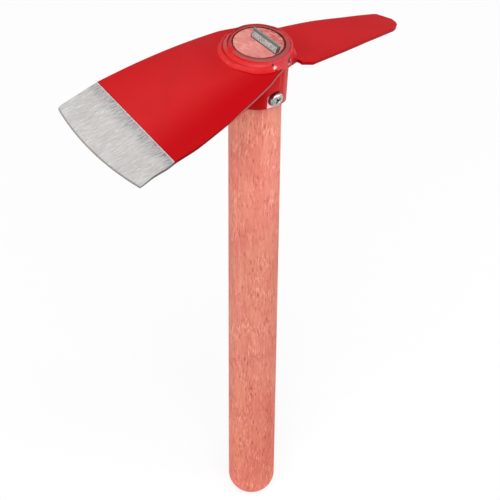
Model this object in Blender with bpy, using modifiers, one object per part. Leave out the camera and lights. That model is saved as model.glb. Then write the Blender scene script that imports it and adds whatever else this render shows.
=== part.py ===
"""Weeding hoe with a short hardwood handle.

A round stick is wedged and screwed into a steel tube, the eye socket. A broad hoe blade is welded round the
front of the tube and a narrow tapering blade to its back, a little lower down.

Units are metres. +Z runs up the handle from the flat on its butt, the hoe blade points along -X and the rear
blade along +X. The pieces of the head are modelled in the eye's own frame, whose origin is the middle of the
rim: its z axis is the axis of the eye, which leans back from the handle by the hang angle.
"""
import math

import bmesh
import bpy
from mathutils import Matrix, Vector

# Whole tool
OVERALL_HEIGHT = 0.400
HANG_ANGLE = math.radians(4.0)
CLEARANCE = 0.0003

# Handle
HANDLE_RADIUS = 0.016
BUTT_FLAT_RADIUS = 0.005
BUTT_DOME_HEIGHT = 0.0151
TENON_RADIUS = 0.0155
TENON_RECESS = 0.0008
TENON_EDGE = 0.0004
SHOULDER_TOP = 0.0015
SHOULDER_FOOT = 0.0045

# Eye socket, a length of tube
SOCKET_RADIUS = 0.0187
BORE_RADIUS = 0.0158
SOCKET_LENGTH = 0.036
SOCKET_EDGE = 0.0004
# The tube's foot is cut aslant behind: how much lower it ends at the back, and where its wall starts to
# follow the handle
FOOT_SLANT = 0.008
SLANT_START = 0.006

# Steel wedge
WEDGE_TOP = ((-0.00165, 0.0102), (-0.00165, -0.0113), (0.0027, -0.0103), (0.0029, 0.0138))
WEDGE_FOOT = ((-0.0005, 0.0102), (-0.0005, -0.0113), (0.0005, -0.0110), (0.0005, 0.0120))
WEDGE_HEIGHT = 0.024
WEDGE_PROUD = 0.0034
WEDGE_CENTRE = (0.0032, -0.0026)
WEDGE_LEAN = math.radians(16)
WEDGE_TURN = math.radians(4.25)
WEDGE_EDGE = 0.0003
SLOT_RUNOUT = 0.0025

# Socket screw, nearly square to the blades
SCREW_DROP = 0.0298
SCREW_TURN = math.radians(2.2)
SCREW_HEAD_RADIUS = 0.0044
SCREW_HEAD_HEIGHT = 0.0026
SCREW_RADIUS = 0.002
SCREW_LENGTH = 0.022
SCREW_POINT = 0.004
RECESS_SPAN = 0.0054
RECESS_WIDTH = 0.0012
RECESS_DEPTH = 0.0014
RECESS_FLOOR_SCALE = 0.55
RECESS_TURN = 37

# Hoe blade: reach is measured from the axis of the eye, along the blade
BLADE_THICKNESS = 0.0026
BLADE_BACK = -0.0010
BLADE_REACH = 0.1118
# Half the width, as a cubic in the share of the reach
BLADE_WIDTH_CURVE = (0.02395, 0.03963, -0.02683, 0.00666)
EDGE_BULGE = 0.0046
EDGE_CORNER_RADIUS = 0.0018
EDGE_THICKNESS = 0.0008
# The ground line, and how far it comes back for each metre toward the far side
GROUND_LINE = 0.0870
GROUND_LINE_TILT = 0.041
SIDE_DROP = 0.00335
SIDE_SLOPE = 0.198
SIDE_BEND = 0.183
CAMBER = 0.0034
CAMBER_REACH = 0.025
BLADE_COLUMNS = 26
PAINTED_ROWS = 16
GROUND_ROWS = 5

# Hoe weld, a raised bead round the front of the tube
HOE_WELD_RADIUS = 0.0249
HOE_WELD_NEAR_END = math.radians(-77)
HOE_WELD_FAR_END = math.radians(68)
HOE_WELD_STEPS = 30
HOE_WELD_TOE = 0.0003
# The bead is drawn in toward its near end
NEAR_END_INSET = 0.0004
NEAR_END_START = math.radians(28)
NEAR_END_FULL = math.radians(56)
# Toward its far end it grows narrower and lower
FAR_END_START = math.radians(10)
FAR_END_SQUEEZE = 0.34
FAR_END_DROP = 0.0008

# Rear blade
REAR_THICKNESS = 0.0024
REAR_ROOT_STATION = 0.011
REAR_ROOT_DROP = 0.0115
REAR_SLOPE = 0.064
REAR_BEND = 0.612
# Distance from the axis of the eye, and half width there
REAR_OUTLINE = (
    (0.0100, 0.0154),
    (0.0160, 0.0138),
    (0.0201, 0.0127),
    (0.0207, 0.0142),
    (0.0210, 0.0160),
    (0.0270, 0.0190),
    (0.0333, 0.0184),
    (0.0430, 0.0174),
    (0.0535, 0.0162),
    (0.0640, 0.0147),
    (0.0740, 0.0130),
    (0.0860, 0.0111),
    (0.0970, 0.0091),
)
# The tip, from the far side to the near side: distance from the axis, and y
REAR_TIP = (
    (0.0988, 0.0085),
    (0.1048, 0.0003),
    (0.1049, -0.0026),
    (0.1037, -0.0054),
    (0.1016, -0.0073),
    (0.0990, -0.0086),
)
REAR_BENDS = 14

# Rear weld, metal laid round the back of the tube, flared onto the root of the rear blade and run out over
# the arms of the hoe blade
REAR_WELD_HALF_ANGLE = math.radians(83.5)
REAR_WELD_STEPS = 40
ARM_WELD_START = math.radians(85.5)
ARM_WELD_END = math.radians(101.6)
ARM_WELD_STEPS = 5
# Radius of its toe at the end, and how much further out it lies beside the middle of the tube
ARM_WELD_RADIUS = 0.0222
ARM_WELD_SPREAD = 0.0013
REAR_WELD_RADIUS = 0.0204
REAR_WELD_FLARE = 0.0034
REAR_WELD_TOP = 0.0004
FLARE_HALF_ANGLE = math.radians(43)
FLARE_FADE = math.radians(13)
ROOT_HALF_ANGLE = math.radians(54)
SIDE_WELD_DROP = 0.0116
END_WELD_DROP = 0.007

ROUND_STEPS = 64
SMALL_ROUND_STEPS = 24
SHARP_ANGLE = math.radians(35)

SOCKET_FOOT = OVERALL_HEIGHT - SOCKET_LENGTH * math.cos(HANG_ANGLE)
EYE_FRAME = (
    Matrix.Translation((0, 0, SOCKET_FOOT))
    @ Matrix.Rotation(HANG_ANGLE, 4, "Y")
    @ Matrix.Translation((0, 0, SOCKET_LENGTH))
)


# Scene and materials


def clear_scene():
    """Remove the objects that are in the scene."""
    for obj in list(bpy.data.objects):
        bpy.data.objects.remove(obj)


def new_collection(name):
    """Add a collection to the scene."""
    collection = bpy.data.collections.new(name)
    bpy.context.scene.collection.children.link(collection)
    return collection


def new_material(name, colour, roughness, metallic):
    """Make a plain material."""
    material = bpy.data.materials.new(name)
    material.use_nodes = True
    shader = material.node_tree.nodes["Principled BSDF"]
    shader.inputs["Base Color"].default_value = (*colour, 1)
    shader.inputs["Roughness"].default_value = roughness
    shader.inputs["Metallic"].default_value = metallic
    material.diffuse_color = (*colour, 1)
    return material


def painted(name):
    """Make a red paint for one piece of the head."""
    return new_material(name, (0.58, 0.015, 0.02), 0.35, 0.0)


# Meshes


def to_object(name, bm, collection, material=None, parent=None):
    """Turn a bmesh into an object with rounded shading between its sharp edges."""
    mesh = bpy.data.meshes.new(name)
    bmesh.ops.recalc_face_normals(bm, faces=bm.faces)
    bm.to_mesh(mesh)
    bm.free()
    obj = bpy.data.objects.new(name, mesh)
    collection.objects.link(obj)
    obj.parent = parent
    if material:
        mesh.materials.append(material)
    mesh.shade_smooth()
    mesh.set_sharp_from_angle(angle=SHARP_ANGLE)
    return obj


def turned(name, profile, collection, material=None, parent=None, closed=False, steps=ROUND_STEPS):
    """Turn a profile of (radius, height) points round z. It runs down the outer side."""
    bm = bmesh.new()
    verts = [bm.verts.new((radius, 0, height)) for radius, height in profile]
    for start, end in zip(verts, verts[1:]):
        bm.edges.new((start, end))
    if closed:
        bm.edges.new((verts[-1], verts[0]))
    obj = to_object(name, bm, collection, material, parent)
    screw = obj.modifiers.new("turn", "SCREW")
    screw.axis = "Z"
    screw.steps = steps
    screw.render_steps = steps
    screw.use_merge_vertices = True
    screw.merge_threshold = 0.00001
    screw.use_smooth_shade = True
    return obj


def lofted(name, sections, collection, material=None, parent=None):
    """Skin a row of closed sections that all have the same number of points, and cap its ends."""
    bm = bmesh.new()
    rings = [[bm.verts.new(point) for point in section] for section in sections]
    count = len(rings[0])
    for near, far in zip(rings, rings[1:]):
        for i in range(count):
            j = (i + 1) % count
            bm.faces.new((near[i], near[j], far[j], far[i]))
    bm.faces.new(rings[0])
    bm.faces.new(rings[-1])
    return to_object(name, bm, collection, material, parent)


def box(name, size, collection, foot_scale=(1, 1), material=None, parent=None):
    """Make a block that stands on z = 0, with its foot scaled in x and y."""
    bm = bmesh.new()
    bmesh.ops.create_cube(bm, size=1)
    for vert in bm.verts:
        vert.co.z += 0.5
        if vert.co.z < 0.5:
            vert.co.x *= foot_scale[0]
            vert.co.y *= foot_scale[1]
    bmesh.ops.scale(bm, vec=Vector(size), verts=bm.verts)
    return to_object(name, bm, collection, material, parent)


def to_plate(name, bm, thickness, collection, material, parent, shares=None):
    """Turn a sheet into a plate whose thickness hangs below it, thinned to a share of it at each vertex."""
    mesh = bpy.data.meshes.new(name)
    bm.to_mesh(mesh)
    bm.free()
    obj = bpy.data.objects.new(name, mesh)
    collection.objects.link(obj)
    obj.parent = parent
    mesh.materials.append(material)
    solidify = obj.modifiers.new("thickness", "SOLIDIFY")
    solidify.thickness = thickness
    solidify.offset = -1
    if shares:
        group = obj.vertex_groups.new(name="thickness")
        for index, share in enumerate(shares):
            group.add([index], share, "REPLACE")
        solidify.vertex_group = group.name
    return obj


def swell(obj, margin):
    """Move every face of a closed mesh outward by the margin."""
    bm = bmesh.new()
    bm.from_mesh(obj.data)
    bm.normal_update()
    moves = [vert.normal * vert.calc_shell_factor() * margin for vert in bm.verts]
    for vert, move in zip(bm.verts, moves):
        vert.co += move
    bm.to_mesh(obj.data)
    bm.free()


def cut(obj, cutter):
    """Cut one object out of another."""
    cutter.hide_render = True
    cutter.display_type = "WIRE"
    boolean = obj.modifiers.new("cut " + cutter.name, "BOOLEAN")
    boolean.operation = "DIFFERENCE"
    boolean.solver = "EXACT"
    boolean.object = cutter


def apply_modifiers(obj):
    """Replace the object's mesh by the one that its modifiers make."""
    bpy.context.view_layer.update()
    graph = bpy.context.evaluated_depsgraph_get()
    mesh = bpy.data.meshes.new_from_object(obj.evaluated_get(graph))
    obj.modifiers.clear()
    obj.data = mesh


def ease(share):
    """Rise smoothly from 0 to 1 as share does."""
    share = min(max(share, 0), 1)
    return share * share * (3 - 2 * share)


# The hoe blade's form


def blade_half_width(reach):
    """Half the blade's width at a distance from the axis of the eye."""
    share = reach / BLADE_REACH
    return sum(term * share**power for power, term in enumerate(BLADE_WIDTH_CURVE))


def cutting_edge(y):
    """Reach of the bowed cutting edge, with its two corners rounded."""
    half = blade_half_width(BLADE_REACH)
    past = max(0, abs(y) - (half - EDGE_CORNER_RADIUS))
    rounding = EDGE_CORNER_RADIUS - math.sqrt(max(0, EDGE_CORNER_RADIUS**2 - past**2))
    return BLADE_REACH + EDGE_BULGE * (1 - (y / half) ** 2) - rounding


def blade_camber(reach):
    """How far the middle stands above the sides: most in front of the eye, none at the ground line."""
    if reach < CAMBER_REACH:
        return CAMBER * ease(reach / CAMBER_REACH)
    return CAMBER * ease((GROUND_LINE - reach) / (GROUND_LINE - CAMBER_REACH))


def blade_top(reach, y):
    """Height of the blade's upper face before grinding, below the rim."""
    side = -SIDE_DROP - SIDE_SLOPE * reach - SIDE_BEND * max(reach, 0) ** 2
    across = min(1, abs(y) / blade_half_width(reach))
    return side + blade_camber(reach) * (1 - across**2)


def place_on_blade(across, along):
    """Lay the grid out from the back of the blade to the ground line, and on to the cutting edge."""
    across = math.sin(across * math.pi / 2)
    painted_share = PAINTED_ROWS / (PAINTED_ROWS + GROUND_ROWS)
    line = GROUND_LINE - GROUND_LINE_TILT * across * blade_half_width(GROUND_LINE)
    if along <= painted_share:
        reach = BLADE_BACK + (line - BLADE_BACK) * along / painted_share
        y = across * blade_half_width(reach)
        ground = 0
    else:
        ground = (along - painted_share) / (1 - painted_share)
        y = across * blade_half_width(line + (BLADE_REACH - line) * ground)
        edge = cutting_edge(across * blade_half_width(BLADE_REACH))
        reach = line + (edge - line) * ground
    removed = ground * (BLADE_THICKNESS - EDGE_THICKNESS)
    return (-reach, y, blade_top(reach, y) - removed), 1 - removed / BLADE_THICKNESS


# The rear blade's form


def rear_top(station):
    """Height of the rear blade's upper face, below the rim."""
    run = station - REAR_ROOT_STATION
    return -REAR_ROOT_DROP - REAR_SLOPE * run - REAR_BEND * run**2


# Pieces


def make_handle(collection, cutters, head):
    """A stick with a domed butt and a pared end that leans with the eye."""
    flat_turn = math.asin(BUTT_FLAT_RADIUS / HANDLE_RADIUS)
    dome = []
    for i in range(11):
        turn = math.pi / 2 + (flat_turn - math.pi / 2) * i / 10
        height = BUTT_DOME_HEIGHT * (math.cos(flat_turn) - math.cos(turn))
        dome.append((HANDLE_RADIUS * math.sin(turn), height))
    top = SOCKET_FOOT + SOCKET_LENGTH - TENON_RECESS
    profile = [
        (0, top),
        (TENON_RADIUS - TENON_EDGE, top),
        (TENON_RADIUS, top - TENON_EDGE),
        (TENON_RADIUS, SOCKET_FOOT),
        (TENON_RADIUS, SOCKET_FOOT - SHOULDER_TOP),
        (HANDLE_RADIUS, SOCKET_FOOT - SHOULDER_FOOT),
        *dome,
        (0, 0),
    ]
    wood = new_material("handle wood", (0.75, 0.25, 0.18), 0.6, 0.0)
    handle = turned("handle", profile, collection, wood)
    apply_modifiers(handle)
    foot = Vector((0, 0, SOCKET_FOOT))
    lean = Matrix.Rotation(HANG_ANGLE, 3, "Y")
    for vert in handle.data.vertices:
        if vert.co.z > SOCKET_FOOT:
            vert.co = foot + lean @ (vert.co - foot)
        elif SHOULDER_FOOT * 1.1 > SOCKET_FOOT - vert.co.z > SHOULDER_TOP * 0.9:
            vert.co.z -= foot_slant(vert.co)
    cut(handle, make_wedge_slot(cutters, head))
    cut(handle, make_screw_hole("screw pilot", cutters, head))
    return handle


def make_wedge_body(name, collection, head, material=None):
    """The wedge's tapered block, leaning back from where it was driven in."""
    sections = [
        [(x, y, 0) for x, y in WEDGE_TOP],
        [(x, y, -WEDGE_HEIGHT) for x, y in WEDGE_FOOT],
    ]
    wedge = lofted(name, sections, collection, material, head)
    wedge.location = (*WEDGE_CENTRE, WEDGE_PROUD)
    wedge.rotation_euler = (0, WEDGE_LEAN, WEDGE_TURN)
    return wedge


def make_wedge_slot(cutters, head):
    """The wedge's body with the clearance round it, run out through the near side of the wood."""
    slot = make_wedge_body("wedge slot", cutters, head)
    swell(slot, CLEARANCE)
    for vert in slot.data.vertices:
        if vert.co.y < 0:
            vert.co.y -= SLOT_RUNOUT
    return slot


def make_wedge(collection, head):
    """A tapered steel wedge with its edges just broken."""
    steel = new_material("wedge steel", (0.30, 0.30, 0.31), 0.5, 0.9)
    wedge = make_wedge_body("steel_wedge", collection, head, steel)
    bevel = wedge.modifiers.new("broken edges", "BEVEL")
    bevel.width = WEDGE_EDGE
    bevel.segments = 2
    bevel.limit_method = "ANGLE"
    return wedge


def foot_slant(place):
    """How much lower the tube ends on this side of it: nothing in front, most at the back."""
    return FOOT_SLANT * max(0, place.x / place.xy.length) ** 2


def make_socket(collection, cutters, head):
    """A tube with broken edges, a slanting foot and a hole for the screw."""
    foot = -SOCKET_LENGTH
    profile = [
        (SOCKET_RADIUS - SOCKET_EDGE, 0),
        (SOCKET_RADIUS, -SOCKET_EDGE),
        (SOCKET_RADIUS, foot + SLANT_START),
        (SOCKET_RADIUS, foot + SOCKET_EDGE),
        (SOCKET_RADIUS - SOCKET_EDGE, foot),
        (BORE_RADIUS + SOCKET_EDGE, foot),
        (BORE_RADIUS, foot + SOCKET_EDGE),
        (BORE_RADIUS, foot + SLANT_START),
        (BORE_RADIUS, -SOCKET_EDGE),
        (BORE_RADIUS + SOCKET_EDGE, 0),
    ]
    socket = turned("eye_socket", profile, collection, painted("socket paint"), head, closed=True)
    apply_modifiers(socket)
    handle_down = Vector((math.sin(HANG_ANGLE), 0, -math.cos(HANG_ANGLE)))
    for vert in socket.data.vertices:
        if vert.co.z < foot + SOCKET_EDGE * 1.5:
            vert.co += handle_down * foot_slant(vert.co)
    cut(socket, make_screw_hole("socket hole", cutters, head))
    return socket


def make_hoe_blade(collection, cutters, head):
    """A broad cambered plate that hugs the front of the tube, ground on top at its cutting edge."""
    bm = bmesh.new()
    rows = PAINTED_ROWS + GROUND_ROWS
    bmesh.ops.create_grid(bm, x_segments=BLADE_COLUMNS, y_segments=rows, size=1)
    shares = []
    for vert in bm.verts:
        vert.co, share = place_on_blade(vert.co.x, (vert.co.y + 1) / 2)
        shares.append(share)
    paint = painted("hoe blade paint")
    blade = to_plate("hoe_blade", bm, BLADE_THICKNESS, collection, paint, head, shares)
    cut(blade, make_tube_space("hoe blade eye", cutters, head))
    return blade


def make_rear_blade(collection, cutters, head):
    """A narrow plate with a neck at the tube, shoulders, and a blunt point."""
    near = [(station, -half, 0) for station, half in REAR_OUTLINE]
    far = [(station, half, 0) for station, half in reversed(REAR_OUTLINE)]
    tip = [(station, y, 0) for station, y in reversed(REAR_TIP)]
    bm = bmesh.new()
    bm.faces.new([bm.verts.new(point) for point in near + tip + far])
    start = REAR_OUTLINE[0][0]
    end = REAR_OUTLINE[-1][0]
    for i in range(1, REAR_BENDS + 1):
        station = start + (end - start) * i / REAR_BENDS
        everything = list(bm.verts) + list(bm.edges) + list(bm.faces)
        bmesh.ops.bisect_plane(bm, geom=everything, plane_co=(station, 0, 0), plane_no=(1, 0, 0))
    for vert in bm.verts:
        vert.co.z = rear_top(vert.co.x)
    bmesh.ops.triangulate(bm, faces=bm.faces)
    blade = to_plate("rear_blade", bm, REAR_THICKNESS, collection, painted("rear blade paint"), head)
    cut(blade, make_tube_space("rear blade eye", cutters, head))
    return blade


def make_tube_space(name, cutters, head):
    """The room that the tube takes, with the clearance round it."""
    radius = SOCKET_RADIUS + CLEARANCE
    profile = [(0, 0.01), (radius, 0.01), (radius, -SOCKET_LENGTH), (0, -SOCKET_LENGTH)]
    return turned(name, profile, cutters, parent=head)


def hoe_weld_section(angle):
    """The bead's outline at one angle from the front: out over its crest and back along the blade."""
    across = math.sin(angle)
    ahead = math.cos(angle)
    inset = NEAR_END_INSET * ease((-angle - NEAR_END_START) / (NEAR_END_FULL - NEAR_END_START))
    fade = ease((angle - FAR_END_START) / (HOE_WELD_FAR_END - FAR_END_START))
    inner = SOCKET_RADIUS + CLEARANCE

    def drawn_in(radius):
        return inner + (radius - inner) * (1 - FAR_END_SQUEEZE * fade)

    def on_blade(radius, lift):
        return blade_top(radius * ahead, radius * across) + lift

    crest = -0.0006 - 0.0014 * ahead - FAR_END_DROP * fade
    outer = drawn_in(HOE_WELD_RADIUS - inset)
    middle = drawn_in(0.0215)
    points = [
        (inner, -0.0005),
        (inner + 0.0005, -0.0005),
        (drawn_in(0.0213), crest - 0.0006),
        (drawn_in(0.0217), crest - 0.0007),
        (drawn_in(0.0221), crest - 0.0006),
        (drawn_in(0.0226 - inset / 4), crest - 0.0001),
        (drawn_in(0.0232 - inset / 2), crest - 0.0002),
        (drawn_in(HOE_WELD_RADIUS - inset - 0.0007), crest - 0.0011),
        (outer, on_blade(outer, CLEARANCE + HOE_WELD_TOE)),
        (outer, on_blade(outer, CLEARANCE)),
        (middle, on_blade(middle, CLEARANCE)),
        (inner, on_blade(inner, CLEARANCE)),
    ]
    return [(-radius * ahead, radius * across, height) for radius, height in points]


def make_hoe_weld(collection, head):
    """A raised bead round the front half of the tube, lying on the hoe blade."""
    sections = []
    for i in range(HOE_WELD_STEPS + 1):
        angle = HOE_WELD_NEAR_END + (HOE_WELD_FAR_END - HOE_WELD_NEAR_END) * i / HOE_WELD_STEPS
        sections.append(hoe_weld_section(angle))
    return lofted("hoe_weld", sections, collection, painted("hoe weld paint"), head)


def arm_weld_section(angle):
    """The weld's outline where it lies on an arm of the hoe blade: a fillet from the rim to the arm's side."""
    inner = SOCKET_RADIUS + CLEARANCE
    toe = ARM_WELD_RADIUS + ARM_WELD_SPREAD * ease((ARM_WELD_END - abs(angle)) / (ARM_WELD_END - math.pi / 2))
    width = toe - inner
    across = math.sin(angle)
    ahead = -math.cos(angle)

    def on_arm(radius):
        return blade_top(radius * ahead, radius * across) + CLEARANCE

    top = -REAR_WELD_TOP
    height = top - on_arm(toe)
    points = [
        (inner, top),
        (inner + 0.18 * width, top - 0.05 * height),
        (inner + 0.40 * width, top - 0.20 * height),
        (inner + 0.65 * width, top - 0.42 * height),
        (inner + 0.88 * width, top - 0.70 * height),
        (toe, on_arm(toe) + 0.12 * height),
        (toe, on_arm(toe)),
        (inner, on_arm(inner)),
    ]
    return [(radius * math.cos(angle), radius * math.sin(angle), z) for radius, z in points]


def rear_weld_section(angle):
    """The weld's outline at one angle from the back."""
    turn = abs(angle)
    flare = REAR_WELD_FLARE * ease((FLARE_HALF_ANGLE - turn) / FLARE_FADE)
    inner = SOCKET_RADIUS + CLEARANCE
    toe = REAR_WELD_RADIUS + flare
    top = -REAR_WELD_TOP
    if turn <= ROOT_HALF_ANGLE:
        foot = rear_top(REAR_ROOT_STATION) + CLEARANCE
    else:
        share = (turn - ROOT_HALF_ANGLE) / (REAR_WELD_HALF_ANGLE - ROOT_HALF_ANGLE)
        foot = -SIDE_WELD_DROP + (SIDE_WELD_DROP - END_WELD_DROP) * share
    height = top - foot
    points = [
        (inner, top),
        (inner + 0.0006, top - 0.0001),
        (REAR_WELD_RADIUS - 0.0003, top - 0.11 * height),
        (REAR_WELD_RADIUS, top - 0.30 * height),
        (REAR_WELD_RADIUS + 0.3 * flare, top - 0.70 * height),
        (toe, foot + 0.06 * height),
        (toe, foot),
        (inner, foot),
    ]
    return [(radius * math.cos(angle), radius * math.sin(angle), z) for radius, z in points]


def make_rear_weld(collection, head):
    """Weld metal round the back of the tube, from one end of the hoe blade to the other."""
    step = 2 * REAR_WELD_HALF_ANGLE / REAR_WELD_STEPS
    angles = [-REAR_WELD_HALF_ANGLE + step * i for i in range(REAR_WELD_STEPS + 1)]
    arm_step = (ARM_WELD_END - ARM_WELD_START) / ARM_WELD_STEPS
    arm_angles = [ARM_WELD_START + arm_step * i for i in range(ARM_WELD_STEPS + 1)]
    sections = [arm_weld_section(-angle) for angle in reversed(arm_angles)]
    sections += [rear_weld_section(angle) for angle in angles]
    sections += [arm_weld_section(angle) for angle in arm_angles]
    return lofted("rear_weld", sections, collection, painted("rear weld paint"), head)


def make_screw_hole(name, cutters, head):
    """The hole that the screw's shank passes through, from outside the tube to past its point."""
    radius = SCREW_RADIUS + CLEARANCE
    start = SOCKET_RADIUS + SCREW_HEAD_HEIGHT
    end = SOCKET_RADIUS - SCREW_LENGTH - CLEARANCE * 2
    profile = [(0, start), (radius, start), (radius, end), (0, end)]
    hole = turned(name, profile, cutters, parent=head, steps=SMALL_ROUND_STEPS)
    aim_screw(hole)
    return hole


def aim_screw(obj):
    """Turn a piece made along z so that it points out of the near side of the tube."""
    obj.location = (0, 0, -SCREW_DROP)
    obj.rotation_euler = (math.pi / 2, 0, SCREW_TURN)


def make_screw(collection, cutters, head):
    """A pan-head wood screw with a cross recess."""
    seat = SOCKET_RADIUS + CLEARANCE
    crown = []
    for i in range(7):
        turn = math.pi / 2 * i / 6
        crown.append((
            SCREW_HEAD_RADIUS * (0.55 + 0.45 * math.sin(turn)),
            seat + SCREW_HEAD_HEIGHT * (0.45 + 0.55 * math.cos(turn)),
        ))
    point_start = seat - SCREW_LENGTH + SCREW_POINT
    profile = [
        (0, seat + SCREW_HEAD_HEIGHT),
        *crown,
        (SCREW_HEAD_RADIUS, seat + 0.0003),
        (SCREW_HEAD_RADIUS - 0.0003, seat),
        (SCREW_RADIUS, seat),
        (SCREW_RADIUS, point_start),
        (0, seat - SCREW_LENGTH),
    ]
    zinc = new_material("screw zinc", (0.72, 0.73, 0.74), 0.25, 1.0)
    screw = turned("socket_screw", profile, collection, zinc, head, steps=SMALL_ROUND_STEPS)
    aim_screw(screw)
    for i in range(2):
        size = (RECESS_SPAN, RECESS_WIDTH, RECESS_DEPTH + SCREW_HEAD_HEIGHT)
        slot = box("recess slot " + str(i + 1), size, cutters, (RECESS_FLOOR_SCALE, 1), parent=screw)
        slot.location.z = seat + SCREW_HEAD_HEIGHT - RECESS_DEPTH
        slot.rotation_euler.z = math.radians(RECESS_TURN + 90 * i)
        cut(screw, slot)
    return screw


def main():
    """Build the hoe."""
    clear_scene()
    parts = new_collection("weeding_hoe")
    cutters = new_collection("cutters")
    head = bpy.data.objects.new("head", None)
    head.matrix_world = EYE_FRAME
    parts.objects.link(head)
    make_handle(parts, cutters, head)
    make_wedge(parts, head)
    make_socket(parts, cutters, head)
    make_hoe_blade(parts, cutters, head)
    make_hoe_weld(parts, head)
    make_rear_blade(parts, cutters, head)
    make_rear_weld(parts, head)
    make_screw(parts, cutters, head)
    bpy.context.view_layer.update()


main()
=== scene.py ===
"""The weeding hoe as it looks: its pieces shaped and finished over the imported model, on a pale floor.

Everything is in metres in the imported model's frame. The pieces of the head are shaped upright in the eye's
own frame, whose origin is the middle of the rim, and are then leaned back onto the handle. There x runs
back from the broad blade, y away from the screw and z up out of the eye.
"""
import math

import bmesh
import bpy
from mathutils import Matrix, Vector


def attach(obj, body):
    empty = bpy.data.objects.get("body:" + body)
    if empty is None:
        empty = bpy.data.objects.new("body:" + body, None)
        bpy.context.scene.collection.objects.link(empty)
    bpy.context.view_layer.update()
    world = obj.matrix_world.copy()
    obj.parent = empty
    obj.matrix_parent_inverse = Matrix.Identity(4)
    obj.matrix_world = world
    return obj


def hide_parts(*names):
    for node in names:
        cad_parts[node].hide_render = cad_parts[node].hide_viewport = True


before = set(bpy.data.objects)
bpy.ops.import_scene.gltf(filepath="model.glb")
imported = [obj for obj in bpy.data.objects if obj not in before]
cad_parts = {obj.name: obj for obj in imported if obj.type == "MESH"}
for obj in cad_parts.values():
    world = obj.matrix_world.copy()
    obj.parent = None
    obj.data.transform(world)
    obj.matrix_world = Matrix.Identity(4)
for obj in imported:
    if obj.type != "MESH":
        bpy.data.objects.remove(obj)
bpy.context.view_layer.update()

# Whole tool
OVERALL_HEIGHT = 0.400
HANG_ANGLE = math.radians(4.0)
# Corners closer than this are the same corner
MERGE_DISTANCE = 0.00001

# Handle
HANDLE_RADIUS = 0.016
BUTT_FLAT_RADIUS = 0.005
BUTT_DOME_HEIGHT = 0.0151
TENON_RADIUS = 0.0155
TENON_TOP_RADIUS = 0.0157
TENON_RECESS = 0.0006
SHOULDER_TOP = 0.0015
SHOULDER_FOOT = 0.0045

# Eye socket
SOCKET_RADIUS = 0.0187
BORE_RADIUS = 0.0158
SOCKET_LENGTH = 0.036
# The foot of the tube is cut aslant: how much lower it is at the back than in front
FOOT_SLANT = 0.008
# The far side of the rim is hammered down at its outer edge
RIM_HAMMERED_DOWN = 0.0023
# Where a run of enamel crosses the rim, and its half size
RIM_RUN = ((-0.0168, 0.0032, -0.0004), (0.0034, 0.0042, 0.0040))

# Wedge
WEDGE_TOP = ((-0.00165, 0.0102), (-0.00165, -0.0113), (0.0027, -0.0103), (0.0029, 0.0138))
WEDGE_FOOT = ((-0.0005, 0.0102), (-0.0005, -0.0113), (0.0005, -0.0110), (0.0005, 0.0120))
WEDGE_HEIGHT = 0.024
WEDGE_PROUD = 0.0034
WEDGE_CENTRE = (0.0032, -0.0026)
WEDGE_LEAN = math.radians(16)
WEDGE_TURN = math.radians(4.25)
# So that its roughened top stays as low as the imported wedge's
WEDGE_LOWERED = 0.00004
SLOT_GAP = 0.00025

# Screw
SCREW_DROP = 0.0298
SCREW_TURN = math.radians(2.2)
SCREW_HEAD_RADIUS = 0.0044
SCREW_HEAD_HEIGHT = 0.0026
SCREW_RADIUS = 0.002
SCREW_LENGTH = 0.022
SCREW_POINT = 0.004
SCREW_CROWN = (0.0008, -0.0208, -SCREW_DROP)
RECESS_SPAN = 0.0056
RECESS_WIDTH = 0.0013
RECESS_DEPTH = 0.0018
RECESS_TURN = 37

# Hoe blade
BLADE_THICKNESS = 0.0026
BLADE_BACK = -0.0010
BLADE_REACH = 0.1118
BLADE_WIDTH_CURVE = (0.02395, 0.03963, -0.02683, 0.00666)
EDGE_BULGE = 0.0045
EDGE_CORNER_RADIUS = 0.0025
EDGE_THICKNESS = 0.0010
GROUND_LINE = 0.0870
GROUND_LINE_TILT = 0.041
SIDE_DROP = 0.00335
SIDE_SLOPE = 0.198
SIDE_BEND = 0.183
CAMBER = 0.0034
CAMBER_REACH = 0.025
PAINTED_ROWS = 60
GROUND_ROWS = 20
BLADE_COLUMNS = 48
# How far the worn plate strays from its even outline
FAR_ROOT_DRAWN_IN = 0.0016
NEAR_EDGE_STANDS_OUT = 0.0017
NEAR_CORNER_DRAWN_IN = 0.0016
CUTTING_EDGE_LOWERED = 0.0012
UNDERSIDE_LOWERED = 0.0009
UNDERSIDE_RAISED = 0.0008

# Weld round the front of the tube
HOE_WELD_RADIUS = 0.0249
HOE_WELD_NEAR_END = math.radians(-77)
HOE_WELD_FAR_END = math.radians(68)
HOE_WELD_TILT = math.radians(3.7)
HOE_WELD_GROOVE = 0.0217
# The corners of its section that are lower than this are its foot
HOE_WELD_FOOT = -0.0027
HOE_WELD_END_ROUNDING = math.radians(5)
HOE_WELD_END_DROP = 0.0010
HOE_WELD_SHOULDER_DROP = 0.0016
HOE_WELD_NEAR_SQUEEZE = 0.0008
# Toward its far end the bead is drawn in to the tube and lies lower
FAR_END_START = math.radians(10)
FAR_END_SQUEEZE = 0.34
FAR_END_DROP = 0.0008

# Rear blade
REAR_THICKNESS = 0.0024
REAR_ROOT_STATION = 0.011
REAR_ROOT_DROP = 0.0115
REAR_SLOPE = 0.064
REAR_BEND = 0.612
REAR_ROW_STEP = 0.002
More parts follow.
